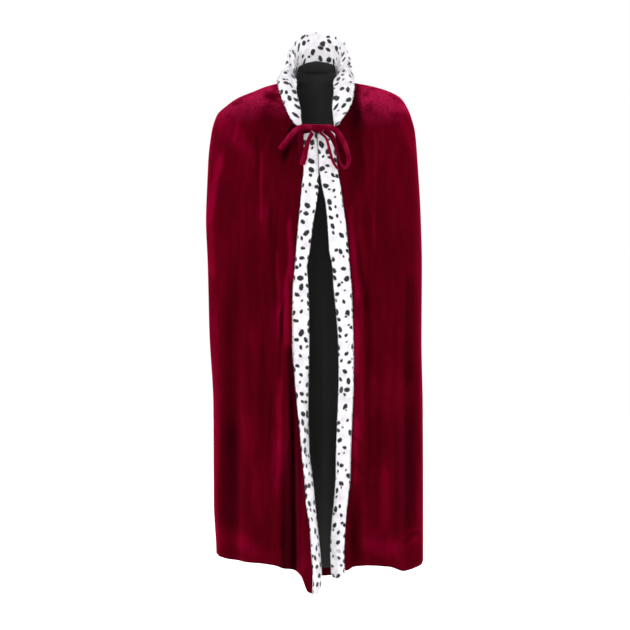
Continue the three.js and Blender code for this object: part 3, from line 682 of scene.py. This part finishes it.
class Graph:
    """A new material, and short calls for its nodes."""

    def __init__(self, name):
        self.material = bpy.data.materials.new(name)
        self.material.use_nodes = True
        self.tree = self.material.node_tree
        self.shader = self.tree.nodes["Principled BSDF"]

    def add(self, kind, **settings):
        node = self.tree.nodes.new("ShaderNode" + kind)
        for name, value in settings.items():
            setattr(node, name, value)
        return node

    def feed(self, socket, value):
        """Links an output to a socket, or sets the socket's own value."""
        if isinstance(value, bpy.types.NodeSocket):
            self.tree.links.new(value, socket)
        else:
            socket.default_value = value

    def put(self, node, **values):
        """Feeds sockets by name, with _ for each space."""
        for name, value in values.items():
            self.feed(node.inputs[name.replace("_", " ")], value)

    def maths(self, operation, *values, kind="Math", out=0):
        node = self.add(kind, operation=operation)
        for socket, value in zip(node.inputs, values):
            self.feed(socket, value)
        return node.outputs[out]

    def vector(self, operation, *values, out=0):
        return self.maths(operation, *values, kind="VectorMath", out=out)

    def times(self, a, b):
        return self.maths("MULTIPLY", a, b)

    def linear(self, value, slope, start):
        return self.maths("MULTIPLY_ADD", value, slope, start)

    def place(self):
        return self.add("TexCoord").outputs["Object"]

    def height(self, place):
        node = self.add("SeparateXYZ")
        self.feed(node.inputs[0], place)
        return node.outputs[2]

    def upright(self, place, share):
        """The place with its height times a share, which stretches a noise."""
        return self.vector("MULTIPLY", place, (1, 1, share))

    def noise(self, place, scale, detail=2.0, roughness=0.5, distortion=0.0, out="Fac"):
        node = self.add("TexNoise")
        self.put(node, Vector=place, Scale=scale, Detail=detail, Roughness=roughness)
        self.put(node, Distortion=distortion)
        return node.outputs[out]

    def ramp(self, value, low, high, kind="SMOOTHSTEP"):
        """0 to 1 as the value goes from low to high."""
        node = self.add("MapRange", interpolation_type=kind)
        self.put(node, Value=value, From_Min=low, From_Max=high)
        return node.outputs["Result"]

    def blend(self, factor, a, b):
        node = self.add("Mix", data_type="RGBA")
        self.feed(node.inputs[0], factor)
        for socket, colour in ((node.inputs[6], a), (node.inputs[7], b)):
            self.feed(socket, (*colour, 1) if isinstance(colour, tuple) else colour)
        return node.outputs[2]

    def bump(self, height, distance, strength):
        node = self.add("Bump")
        self.put(node, Strength=strength, Distance=distance, Height=height)
        return node.outputs["Normal"]


SHOULDER_HIGHLIGHT = (-0.06, 0.02)  # heights between which the painted highlight on the shoulder tops begins


def velvet_material(name, dark, middle, light, painted_highlight, sheen, weight, grain=1):
    """Velvet, dark or light by the painted light on its mesh, with a painted highlight on the shoulder
    tops in crushed patches.
    """
    g = Graph(name)
    place = g.place()
    # The painted light that the mesh carries: above 0 a painted highlight, below 0 painted shade
    lie = g.add("Attribute", attribute_name="painted_light_and_pile").outputs["Fac"]
    upright = g.upright(place, 0.16)
    streaks = g.noise(upright, scale=60 * grain, detail=4, roughness=0.6, distortion=0.3)
    clouds = g.noise(g.upright(place, 0.5), scale=15 * grain, detail=3)
    fine = g.noise(place, scale=300, detail=3, roughness=0.65)
    uneven = g.times(lie, g.linear(clouds, 1.2, 0.4))
    tone = g.linear(uneven, 0.5, 0.5)
    for noise, share in ((streaks, 0.35), (clouds, 0.5), (fine, 0.4)):
        tone = g.maths("ADD", tone, g.linear(noise, share, -share / 2))
    deep = g.blend(g.ramp(tone, 0.0, 0.5, "LINEAR"), dark, middle)
    plain = g.blend(g.ramp(tone, 0.5, 1.0, "LINEAR"), deep, light)

    # A painted highlight on the shoulder tops, where light from above falls, in crushed patches, and not
    # where shade is painted
    crushed = g.ramp(g.noise(place, scale=210, detail=4, roughness=0.7, distortion=0.8), 0.40, 0.62)
    patches = g.ramp(g.noise(g.upright(place, 1.6), scale=16, detail=3, roughness=0.6), 0.30, 0.55)
    wavering = g.linear(clouds, 0.07, g.height(place))
    shoulder_highlight = g.times(g.ramp(wavering, *SHOULDER_HIGHLIGHT), patches)
    shoulder_highlight = g.times(shoulder_highlight, g.ramp(lie, -0.8, 0.0))
    lit = g.times(shoulder_highlight, g.linear(crushed, 0.5, 0.5))

    # The fine grain of the pile, for the bump
    painted_light_and_pile = g.noise(place, scale=1400, detail=2, roughness=0.7)
    relief = g.linear(streaks, 0.6, g.times(painted_light_and_pile, 0.12))
    g.put(g.shader, Base_Color=g.blend(lit, plain, painted_highlight), Normal=g.bump(relief, 0.003, 0.3))
    g.put(g.shader, Roughness=0.85, Specular_IOR_Level=0.0)
    g.put(g.shader, Sheen_Weight=weight, Sheen_Roughness=0.4, Sheen_Tint=(*sheen, 1))
    return g.material


SATIN_FOOT = (-1.2, -0.6)  # heights between which the shade at the foot ends
SATIN_TOP = (0.051, 0.043)  # and the shade at the top


def satin_material(name, dark, light):
    """Black satin with a diagonal weave, darker at its foot and at its top."""
    g = Graph(name)
    place = g.place()
    height = g.height(place)
    foot = g.linear(g.ramp(height, *SATIN_FOOT), 0.6, 0.4)
    top = g.linear(g.ramp(height, *SATIN_TOP), 0.62, 0.32)
    soft = g.noise(g.upright(place, 0.25), scale=14, detail=3)
    tone = g.blend(g.ramp(soft, 0.3, 0.7), dark, light)
    shaded = g.blend(g.times(foot, top), (0.0, 0.0, 0.0), tone)
    weave = g.add("TexWave", wave_type="BANDS", bands_direction="DIAGONAL")
    g.put(weave, Vector=place, Scale=700, Distortion=0.4)
    g.put(g.shader, Base_Color=shaded, Normal=g.bump(weave.outputs["Fac"], 0.0003, 0.3))
    g.put(g.shader, Roughness=0.6, Specular_IOR_Level=0.12)
    return g.material


FUR_WHITES = ((0.69, 0.67, 0.70), (0.86, 0.85, 0.87))
FUR_BLACK = (0.018, 0.018, 0.022)
SPOT_RAGGED = 0.0035  # how far the edges of the spots stray
SPOT_LONG, SPOT_CROSS = 0.82, 1.2  # distances along and across an oval count this much
SPOT_EDGE = (-0.0003, 0.0011)
SPOTLESS = (0.05, 0.07)  # about the share of the cells that have no spot


def fur_material(name, cell, least, most):
    """White fur with black ovals of a pitch, cell, and a least and most radius, in metres of UV."""
    g = Graph(name)
    uv = g.add("UVMap", uv_map="UVMap").outputs["UV"]
    stray = g.noise(uv, scale=170, detail=2, roughness=0.6, out="Color")
    stray = g.vector("SUBTRACT", stray, (0.5, 0.5, 0.5))
    place = g.vector("ADD", uv, g.vector("MULTIPLY", stray, (SPOT_RAGGED, SPOT_RAGGED, 0)))
    cells = g.add("TexVoronoi", voronoi_dimensions="2D")
    g.put(cells, Vector=place, Scale=1 / cell, Randomness=0.72)
    away = g.vector("SUBTRACT", place, cells.outputs["Position"])
    chance = g.add("SeparateColor")
    g.put(chance, Color=cells.outputs["Color"])

    turn = g.times(chance.outputs[0], 2 * math.pi)
    axis = g.add("CombineXYZ")
    g.put(axis, X=g.maths("COSINE", turn), Y=g.maths("SINE", turn))
    long_way = g.vector("DOT_PRODUCT", away, axis.outputs[0], out="Value")
    whole = g.vector("DOT_PRODUCT", away, away, out="Value")
    rest = g.maths("SUBTRACT", whole, g.times(long_way, long_way))
    across = g.maths("SQRT", g.maths("MAXIMUM", rest, 0.0))
    long_part = g.maths("POWER", g.times(long_way, SPOT_LONG), 2.0)
    cross_part = g.maths("POWER", g.times(across, SPOT_CROSS), 2.0)
    oval = g.maths("SQRT", g.maths("ADD", long_part, cross_part))
    radius = g.linear(chance.outputs[1], most - least, least)
    spot = g.ramp(g.maths("SUBTRACT", radius, oval), *SPOT_EDGE)
    spot = g.times(spot, g.ramp(chance.outputs[2], *SPOTLESS))

    white = g.blend(g.ramp(g.noise(uv, scale=45, detail=3, roughness=0.6), 0.3, 0.7), *FUR_WHITES)
    g.put(g.shader, Base_Color=g.blend(spot, white, FUR_BLACK), Roughness=0.9)
    g.put(g.shader, Specular_IOR_Level=0.2, Sheen_Weight=0.25, Sheen_Roughness=0.5)
    return g.material


def floor_material(glow):
    """A pale floor that glows, to be as bright as the world."""
    g = Graph("floor")
    speckle = g.noise(g.place(), scale=3)
    colour = g.blend(speckle, (0.95, 0.95, 0.95), (0.97, 0.97, 0.97))
    g.put(g.shader, Base_Color=colour, Roughness=0.9)
    g.put(g.shader, Emission_Color=(1, 1, 1, 1), Emission_Strength=glow)
    return g.material


velvet = velvet_material(
    "velvet",
    dark=(0.012, 0.0002, 0.0012),
    middle=(0.050, 0.0002, 0.0032),
    light=(0.125, 0.0004, 0.011),
    # the colour of the painted highlight on the shoulder tops
    painted_highlight=(0.30, 0.007, 0.045),
    sheen=(0.9, 0.012, 0.08),
    weight=0.4,
)
ribbon_velvet = velvet_material(
    "ribbon",
    dark=(0.03, 0.0002, 0.003),
    middle=(0.09, 0.0004, 0.008),
    light=(0.22, 0.006, 0.03),
    # the colour of the painted highlight on the shoulder tops
    painted_highlight=(0.22, 0.006, 0.03),
    sheen=(0.9, 0.02, 0.16),
    weight=0.5,
    grain=5,
)
satin = satin_material("lining_satin", (0.034, 0.034, 0.034), (0.044, 0.044, 0.044))
fur = fur_material("spotted_fur", cell=0.0212, least=0.0029, most=0.0082)

# The camera

camera = new_object("camera", bpy.data.cameras.new("camera"))
camera.data.sensor_fit = "HORIZONTAL"
camera.data.angle = 2 * math.atan(HALF_VIEW / EYE_FAR)
camera.location = (EYE_X * MM, -EYE_FAR * MM, EYE_Z * MM)
camera.rotation_euler = (math.radians(90), 0, 0)
bpy.context.scene.camera = camera

# The ribbon tie

RIBBON_SUB = 5  # rings for each point of a route
RIBBON_HALF = 7  # points on each face across the ribbon
RIBBON_BLUNT = 0.05  # how thin a ribbon's edges are, squared
RIBBON_LEVEL = 0.01  # an edge above this is the upper one
RIBBON_EDGE_HIGHLIGHT = 0.45  # how much painted highlight the upper edge of a ribbon has
RIBBON_SHADE = {
    # places along the ribbon from 0 to 1, and the painted light there: below 0 painted shade, above 0 a
    # painted highlight
    "tie_tape": ((0, 0.2, 0.5, 1), (0, 0.4, 0.3, 0.2)),
    "tie_loop_right": ((0, 0.25, 0.45, 0.55, 1), (0.2, 0.3, 0.1, -0.7, -1)),
    "tie_loop_left": ((0, 0.25, 0.5, 0.6, 1), (0, 0.2, 0.1, -0.1, -0.5)),
    "tie_hang_right": ((0, 0.3, 0.5, 0.6, 1), (-0.2, 0.1, 0.2, -0.4, -0.7)),
    "tie_tail_left": ((0, 0.3, 1), (0.2, 0.4, 0.3)),
}


def ribbon(name):
    """A flat ribbon along its route: the piece, and its route and width in metres."""
    width, *rows = RUNS[name]
    rows = np.array(rows, float)
    line = catmull(rows[:, :3], RIBBON_SUB, False)
    station = np.arange(len(line)) / RIBBON_SUB
    at = np.arange(len(rows))
    lie, lean = (np.radians(np.interp(station, at, rows[:, k])) for k in (3, 4))
    along = unit(np.gradient(line, axis=0))
    wide = np.stack([np.cos(lie) * np.cos(lean), -np.sin(lean), np.sin(lie) * np.cos(lean)], -1)
    wide = unit(wide - along * (wide * along).sum(-1, keepdims=True))
    deep = np.cross(along, wide)
    across = np.linspace(-1, 1, RIBBON_HALF)
    half = RIBBON_THICKNESS / 2 * np.sqrt(np.maximum(1 - across**4, RIBBON_BLUNT))
    across = join([across, across[::-1]])
    half = join([half, -half[::-1]])
    rings = line[:, None] + wide[:, None] * (across * width / 2)[None, :, None]
    rings = rings + deep[:, None] * half[None, :, None]
    count = rings.shape[1]
    faces = loft_faces(len(rings), count).tolist()
    faces.append(list(range(count))[::-1])
    faces.append([(len(rings) - 1) * count + k for k in range(count)])
    # A painted highlight along each ribbon's upper edge, and the painted light of RIBBON_SHADE along it
    rise = np.sign(wide[:, 2:] + RIBBON_LEVEL) * np.abs(wide[:, 2:]) ** 0.5
    shade = np.interp(station / station[-1], *RIBBON_SHADE[name])[:, None]
    painted_light_and_pile = (across[None] * rise * RIBBON_EDGE_HIGHLIGHT + shade).ravel()
    points = rings.reshape(-1, 3)
    piece = mesh_object("ribbon_" + name[4:], points, faces, [ribbon_velvet], painted_light_and_pile=painted_light_and_pile)
    stand_for(piece, name)
    return piece, line * MM, width * MM


for name, length, far_end in (
    ("tie_loop_right", 0.187, "object"),
    ("tie_loop_left", 0.236, "object"),
    ("tie_hang_right", 0.164, "object"),
    ("tie_tail_left", 0.099, "bare"),
):
    piece, line, width = ribbon(name)
ribbon("tie_tape")

KNOT_STEPS = (48, 25)  # round it, and upward
KNOT_SQUARE = 0.7  # 1 would be an ellipsoid, and less is more square
KNOT_SQUARE_DEEP = 0.8
KNOT_TAPER = 0.12  # how much lower the knot is at its two sides
KNOT_SHADE = 11  # painted shade in the knot's grooves, for their depth
# A painted highlight, lighter towards the knot's top
KNOT_TOP_LIGHT = 0.35
KNOT_GROOVES = (
    # depth, place across, slant and width, as shares of the knot's half sizes
    (0.10, 0, 0.25, 0.16),
    (0.07, 0.62, 0.1, 0.12),
    (0.06, -0.5, 0.2, 0.12),
)


def signed_power(x, n):
    return np.sign(x) * np.abs(x) ** n


def knot():
    """A flat cushion of ribbon over the tape, with folds running down it."""
    around = np.linspace(0, 2 * np.pi, KNOT_STEPS[0], endpoint=False)
    upward = np.linspace(-np.pi / 2, np.pi / 2, KNOT_STEPS[1])
    around, upward = np.meshgrid(around, upward)
    girth = signed_power(np.cos(upward), KNOT_SQUARE)
    x = girth * signed_power(np.cos(around), KNOT_SQUARE)
    y = girth * signed_power(np.sin(around), KNOT_SQUARE_DEEP)
    z = signed_power(np.sin(upward), KNOT_SQUARE)
    groove = 1
    for depth, at, slant, wide in KNOT_GROOVES:
        groove = groove - depth * np.exp(-(((x - at - slant * z) / wide) ** 2))
    taper = 1 - KNOT_TAPER * np.abs(x) ** 3
    # Painted shade in the grooves and a painted highlight towards the top
    painted_light_and_pile = (KNOT_SHADE * (groove - 1) + KNOT_TOP_LIGHT * z).ravel()
    x = KNOT["x"] + x * KNOT["wide"] / 2
    y = KNOT["y"] + y * KNOT["deep"] / 2 * groove
    z = KNOT["z"] + z * KNOT["high"] / 2 * taper
    points = np.stack([x, y, z], -1).reshape(-1, 3)
    faces = loft_faces(*x.shape).tolist()
    return mesh_object("ribbon_knot", points, faces, [ribbon_velvet], painted_light_and_pile=painted_light_and_pile)


stand_for(knot(), "tie_knot")

# The velvet and its lining

PANEL_ROWS = 150
PANEL_EASE = 1.3  # rows lie closer at the top, by this power
FRONT_COLUMNS = 100
FRONT_EASE = 1.2  # columns lie closer at a front's edge
BACK_COLUMNS = 220
LINING_TURN = (0, 0.2, 0.4, 0.6, 0.8, 1)  # rows of the lining on the collar, as shares of the way
LINING_STEP = 0.25  # between those rows where the lining doesn't reach the collar
LINING_FIRST_ROW = 2  # of the panel's rows


def painted_light_at(angle, z, part):
    """Painted shade and highlight by the folds and streaks, and dark where the side seams draw the cloth
    in.
    """
    from_seam = (np.abs(wrapped(angle)) - SIDE_SEAM) / SEAM_DRAWS_IN
    folds = fold_at(angle, z, FOLDS) * PAINTED_LIGHT_BY_FOLD[part]
    return folds + fold_at(angle, z, BACK_PAINTED_STREAKS) - np.exp(-(from_seam**2))


def panel_rows(first=0):
    """Shares of the way down a panel, as a column."""
    return (np.arange(first, PANEL_ROWS + 1) / PANEL_ROWS)[:, None] ** PANEL_EASE


def hem_edge(side):
    return edge_angle(side, hem_at(SIGN[side] * HEM_CORNER))


def front_grids(side):
    """The outer and inner faces of a front, from its edge to the side seam, and its painted light."""
    across = (np.arange(FRONT_COLUMNS + 1) / FRONT_COLUMNS)[None] ** FRONT_EASE
    seam = SIGN[side] * SIDE_SEAM
    top = neckline_at(mix(edge_angle(side, BAND_TOP), seam, across))
    top[0, 0] = BAND_TOP
    bottom = hem_at(mix(hem_edge(side), seam, across))
    z = mix(top, bottom, panel_rows())
    angle = mix(edge_angle(side, z), seam, across)
    outer = cloth_point(angle, z)
    inner = outer - cloth_normal(angle, z) * VELVET
    edge, _, _, cut, _ = band_frame(side, z[:, 0])
    outer[:, 0] = edge
    inner[:, 0] = edge - cut * VELVET
    return outer, inner, painted_light_at(angle, z, "front") + painted_light_strokes(outer)


def back_angles():
    """Angles from the left side seam round the back to the right one, as a row."""
    share = (np.arange(BACK_COLUMNS + 1) / BACK_COLUMNS)[None]
    return mix(SIDE_SEAM, 360 - SIDE_SEAM, share)


def back_grids():
    angle = back_angles()
    z = mix(neckline_at(angle), hem_at(angle), panel_rows())
    angle = angle + 0 * z
    outer = cloth_point(angle, z)
    return outer, outer - cloth_normal(angle, z) * VELVET, painted_light_at(angle, z, "back")


def collar_frame_at(angle):
    """The collar's frame at angles on both sides of the front."""
    away = np.abs(wrapped(angle))
    on_right = wrapped(angle) < 0
    frames = [collar_frame(side, station_at[side](away)) for side in SIGN]
    return [np.where(on_right[:, None] if a.ndim == 2 else on_right, a, b) for a, b in zip(*frames)]


def lining_point(angle, z, more):
    """A point inside the velvet, further in by the gap and by more."""
    return cloth_point(angle, z) - cloth_normal(angle, z) * (VELVET + SEAM_GAP + more)


def lining_grids():
    """The lining's two faces, from a little way up the collar to above the hem."""
    angle = back_angles()[0]
    frame = collar_frame_at(angle)
    root, edge, *_ = frame
    height = length_of(edge - root)
    rise = by_side(lining_rise, angle)
    z = mix(neckline_at(angle), hem_at(angle) + HEM_TURNING, panel_rows(LINING_FIRST_ROW))
    faces = []
    for more in (0, LINING):
        rows = []
        for step, down in enumerate(LINING_TURN):
            up = mix(rise, LINING_TUCK, down) / height
            on_collar = collar_point(frame, up, collar_thickness(up) + LINING_FROM_COLLAR + more)
            on_cloth = lining_point(angle, neckline_at(angle) - LINING_STEP * (step + 1), more)
            rows.append(np.where((rise > 0)[:, None], on_collar, on_cloth))
        faces.append(join([np.stack(rows), lining_point(angle + 0 * z, z, more)]))
    return faces


for name, node, (outer, inner, painted_light_and_pile), inside, flat, area in (
    ("velvet_back", "back", back_grids(), velvet, (0.80, 1.27), 0.765),
    ("velvet_front_right", "front_right", front_grids("right"), satin, (0.42, 1.24), 0.344),
    ("velvet_front_left", "front_left", front_grids("left"), satin, (0.36, 1.24), 0.296),
):
    piece = wall(name, outer, inner, velvet, inside, painted_light_and_pile)
    stand_for(piece, node)

lining = wall("satin_lining", *lining_grids(), satin, satin)
stand_for(lining, "lining_back")

# The fur

FUR_INSET = 2.4  # from the CAD solid's face in to the cloth that the hairs stand on
MEETING_INSET = 0.2  # the same where the two bands lie edge to edge, above TOGETHER
TOGETHER = -185
APART = -240
COLLAR_STATIONS = 6  # rings for each row of the collar's table
COLLAR_SUB = 4  # points for each one of a collar ring's outline
COLLAR_STAND = (0.75, 0.3)  # shares of the thickness, for the two points below the root
BAND_ROWS = 260
BAND_SUB = 3
BAND_SEAM_OUT = 3  # how far outside its seam a band begins
HAIR_LENGTH = 3.5
HAIR_WIDTH = 0.5
HAIR_TALL = (0.7, 1.15)  # least and most share of the length
HAIR_THICK = (0.7, 1.3)  # and of the width
HAIR_RISE = (0.45, 0.8)  # how steeply a hair stands
HAIR_WANDER = 0.35
HAIR_MIDDLE = 0.55  # where a hair bends, as a share of its length
HAIR_LIE = 0.45  # how far over it lies there
HAIR_TIP = (0.8, 0.95)  # shares of its rise and its lie at the tip
HAIR_ROOT = 0.3  # how far inside the cloth it starts
FUR = {
    # where it was cut from the spotted cloth, how close its spots are, its hairs and their seed
    "collar": ((3.1, 2.7), 1, 45000, 3),
    "band_right": ((1.3, 0.4), 1, 42000, 5),
    "band_left": ((5.2, 6.8), 1.06, 42000, 8),
}


def ring_uv(rings):
    """Real lengths in metres round each ring and along the piece."""
    around = length_of(np.diff(rings, axis=1, append=rings[:, :1]))
    u = join([np.zeros((len(rings), 1)), np.cumsum(around, 1)[:, :-1]], 1)
    step = length_of(np.diff(rings.mean(1), axis=0))
    v = join([[0], np.cumsum(step)])[:, None] + 0 * u
    return np.stack([u, v], -1) * MM


def ring_normals(rings):
    around = np.roll(rings, -1, 1) - np.roll(rings, 1, 1)
    normal = unit(np.cross(around, np.gradient(rings, axis=0)) + 1e-9)
    outward = ((rings - rings.mean(1, keepdims=True)) * normal).sum(-1).mean()
    return normal if outward > 0 else -normal


def strands(rings, normals, uv, count, comb, seed):
    """Short tapered hairs on a lofted surface, which lie the way that comb says."""
    rng = np.random.default_rng(seed)
    columns = rings.shape[1]
    right = np.roll(rings, -1, 1)
    a, b, c, d = rings[:-1], right[:-1], right[1:], rings[1:]
    area = 0.5 * (length_of(np.cross(b - a, c - a)) + length_of(np.cross(c - a, d - a)))
    weight = area.ravel()
    cell = rng.choice(len(weight), count, p=weight / weight.sum())
    i, j = np.divmod(cell, columns)
    k = (j + 1) % columns
    s, t = rng.random(count)[:, None], rng.random(count)[:, None]

    def at(grid):
        near = grid[i, j] * (1 - s) + grid[i, k] * s
        far = grid[i + 1, j] * (1 - s) + grid[i + 1, k] * s
        return near * (1 - t) + far * t

    place = at(uv)
    last = k == 0
    place[last, 0] = uv[i[last], j[last], 0]
    root = at(rings)
    normal = unit(at(normals))
    lie = comb(root)
    lie = unit(lie - normal * (lie * normal).sum(-1, keepdims=True) + 1e-9)
    lie = unit(lie + np.cross(normal, lie) * rng.normal(0, HAIR_WANDER, count)[:, None])
    side = unit(np.cross(normal, lie))
    tall = (HAIR_LENGTH * rng.uniform(*HAIR_TALL, count))[:, None]
    thick = (HAIR_WIDTH * rng.uniform(*HAIR_THICK, count))[:, None]
    rise = rng.uniform(*HAIR_RISE, count)[:, None]
    half = side * thick / 2
    middle = root + (normal * rise + lie * HAIR_LIE) * tall * HAIR_MIDDLE
    tip = root + normal * rise * tall * HAIR_TIP[0] + lie * tall * HAIR_TIP[1]
    root = root - normal * HAIR_ROOT
    points = np.stack([root - half, root + half, middle + half, middle - half, tip], 1)
    return points.reshape(-1, 3), np.repeat(place, 5, 0)


def fur_piece(node, rings, inset, comb):
    """A closed piece of spotted fur, each hair with the colour of its root."""
    cut_at, closeness, count, seed = FUR[node]
    rows, columns = rings.shape[:2]
    normals = ring_normals(rings)
    uv = ring_uv(rings) * closeness + np.array(cut_at)
    base = rings - normals * np.broadcast_to(inset, rows)[:, None, None]
    closed = join([base, base[:, :1]], 1)
    around = length_of(base[:, 0] - base[:, -1]) * MM * closeness
    last = np.stack([uv[:, -1, 0] + around, uv[:, 0, 1]], -1)[:, None]
    closed_uv = join([uv, last], 1)
    first_ring = list(range(columns))
    last_ring = [(rows - 1) * (columns + 1) + k for k in range(columns)]
    hair, hair_uv = strands(base, normals, uv, count, comb, seed)
    first = closed.size // 3 + np.arange(count)[:, None] * 5
    faces = grid_faces(rows, columns + 1, True).tolist() + [first_ring[::-1], last_ring]
    faces += (first + np.array([0, 1, 2, 3])).tolist()
    faces += (first + np.array([3, 2, 4])).tolist()
    points = join([closed.reshape(-1, 3), hair])
    points_uv = join([closed_uv.reshape(-1, 2), hair_uv])
    piece = mesh_object("fur_" + node, points, faces, [fur], points_uv)
    stand_for(piece, node)


def collar_rings(side, stations):
    """The collar's outline at each station: inside, edge, outside and stand."""
    frame = collar_frame(side, stations)
    _, _, face, swell, _, full = frame
    stops = COLLAR_THICKNESS["along"]
    ring = [collar_point(frame, stop, 0 * full) for stop in stops]
    middle = collar_thickness(1) * full / 2
    for way in (-1, 1):
        ring.append(collar_point(frame, 1, middle + way * COLLAR_TIP / 2))
    for stop in stops[::-1]:
        ring.append(collar_point(frame, stop, collar_thickness(stop) * full))
    for share in COLLAR_STAND:
        ring.append(swell + face * (collar_thickness(0) * full * share)[:, None])
    return np.stack(ring, 1)


def downwards(root):
    return np.broadcast_to(np.array([0, 0, -1.0]), root.shape)


def down_and_out(root):
    return root * np.array([1, 1, 0]) + np.array([0, -40.0, -60.0])


def fur_collar():
    last = len(STATION) - 1
    stations = np.linspace(0, last, last * COLLAR_STATIONS + 1)
    right = collar_rings("right", stations)
    left = collar_rings("left", stations[::-1][1:])
    rings = catmull(join([right, left]), COLLAR_SUB, True)
    fur_piece("collar", rings, FUR_INSET, down_and_out)


def band_rings(side, z, grow):
    """A band's outline at each height, grown about its middle."""
    seam, across, outward, cut, wide = band_frame(side, z)
    start = seam + across * SEAM_GAP
    centre = start + across * wide[:, None] / 2
    ring = [start - cut * VELVET, start, start + cut * BAND_SEAM_OUT]
    for share, more, out in BAND_SECTION:
        ring.append(seam + across * (share * wide + more)[:, None] + outward * out)
    ring = np.stack(ring, 1)
    ring = centre[:, None] + (ring - centre[:, None]) * grow[:, None, None]
    ring[..., 2] = z[:, None]
    return ring


def fur_band(side):
    hem_line = float(hem_at(hem_edge(side)))
    foot = [mix(hem_line, BAND_FOOT[side], down) for down, _ in BAND_END]
    z = join([np.linspace(BAND_TOP, hem_line, BAND_ROWS), foot])
    grow = join([np.ones(BAND_ROWS), [share for _, share in BAND_END]])
    rings = catmull(band_rings(side, z, grow), BAND_SUB, True)
    inset = mix(FUR_INSET, MEETING_INSET, ease((z - APART) / (TOGETHER - APART)))
    fur_piece("band_" + side, rings, inset, downwards)


fur_collar()
for side in SIGN:
    fur_band(side)

# The floor and the light

FLOOR = -1.235
FLOOR_HALF = 9.0
FLOOR_STEPS = 13
FLOOR_GLOW = 0.75
WORLD_LIGHT = 0.42
MIDDLE = (0, 0, -0.5)


def pale_floor():
    steps = np.linspace(-FLOOR_HALF, FLOOR_HALF, FLOOR_STEPS)
    points = [(x, y, FLOOR) for y in steps for x in steps]
    mesh = bpy.data.meshes.new("floor")
    mesh.from_pydata(points, [], grid_faces(FLOOR_STEPS, FLOOR_STEPS, True).tolist())
    mesh.materials.append(floor_material(FLOOR_GLOW))
    new_object("floor", mesh)


def white_world():
    """White to the camera, with less light than that."""
    world = bpy.data.worlds.new("studio")
    world.use_nodes = True
    nodes, links = world.node_tree.nodes, world.node_tree.links
    background = nodes["Background"]
    background.inputs["Color"].default_value = (1, 1, 1, 1)
    path = nodes.new("ShaderNodeLightPath")
    level = nodes.new("ShaderNodeMapRange")
    level.inputs["To Min"].default_value = WORLD_LIGHT
    links.new(path.outputs["Is Camera Ray"], level.inputs["Value"])
    links.new(level.outputs["Result"], background.inputs["Strength"])
    bpy.context.scene.world = world
    bpy.context.scene.view_settings.view_transform = "Standard"


def area_light(name, place, aim, size, power):
    data = bpy.data.lights.new(name, "AREA")
    data.shape = "RECTANGLE"
    data.size, data.size_y = size
    data.energy = power
    lamp = new_object(name, data)
    lamp.location = place
    away = np.array(place) - np.array(aim)
    flat = math.hypot(away[0], away[1])
    lamp.rotation_euler = (math.atan2(flat, away[2]), 0, math.atan2(away[0], -away[1]))


pale_floor()
white_world()
area_light("side_right", (-2.3, -0.7, -0.2), MIDDLE, (0.7, 2.6), 42)
area_light("side_left", (2.3, -0.7, -0.2), MIDDLE, (0.7, 2.6), 42)
area_light("front", (-0.6, -4.2, 0.6), MIDDLE, (1.8, 1.8), 45)
area_light("top", (0, -0.6, 2.2), (0, 0, 0), (1.6, 1.2), 40)
area_light("back", (0.5, 3.6, 0.9), MIDDLE, (1.8, 1.8), 26)
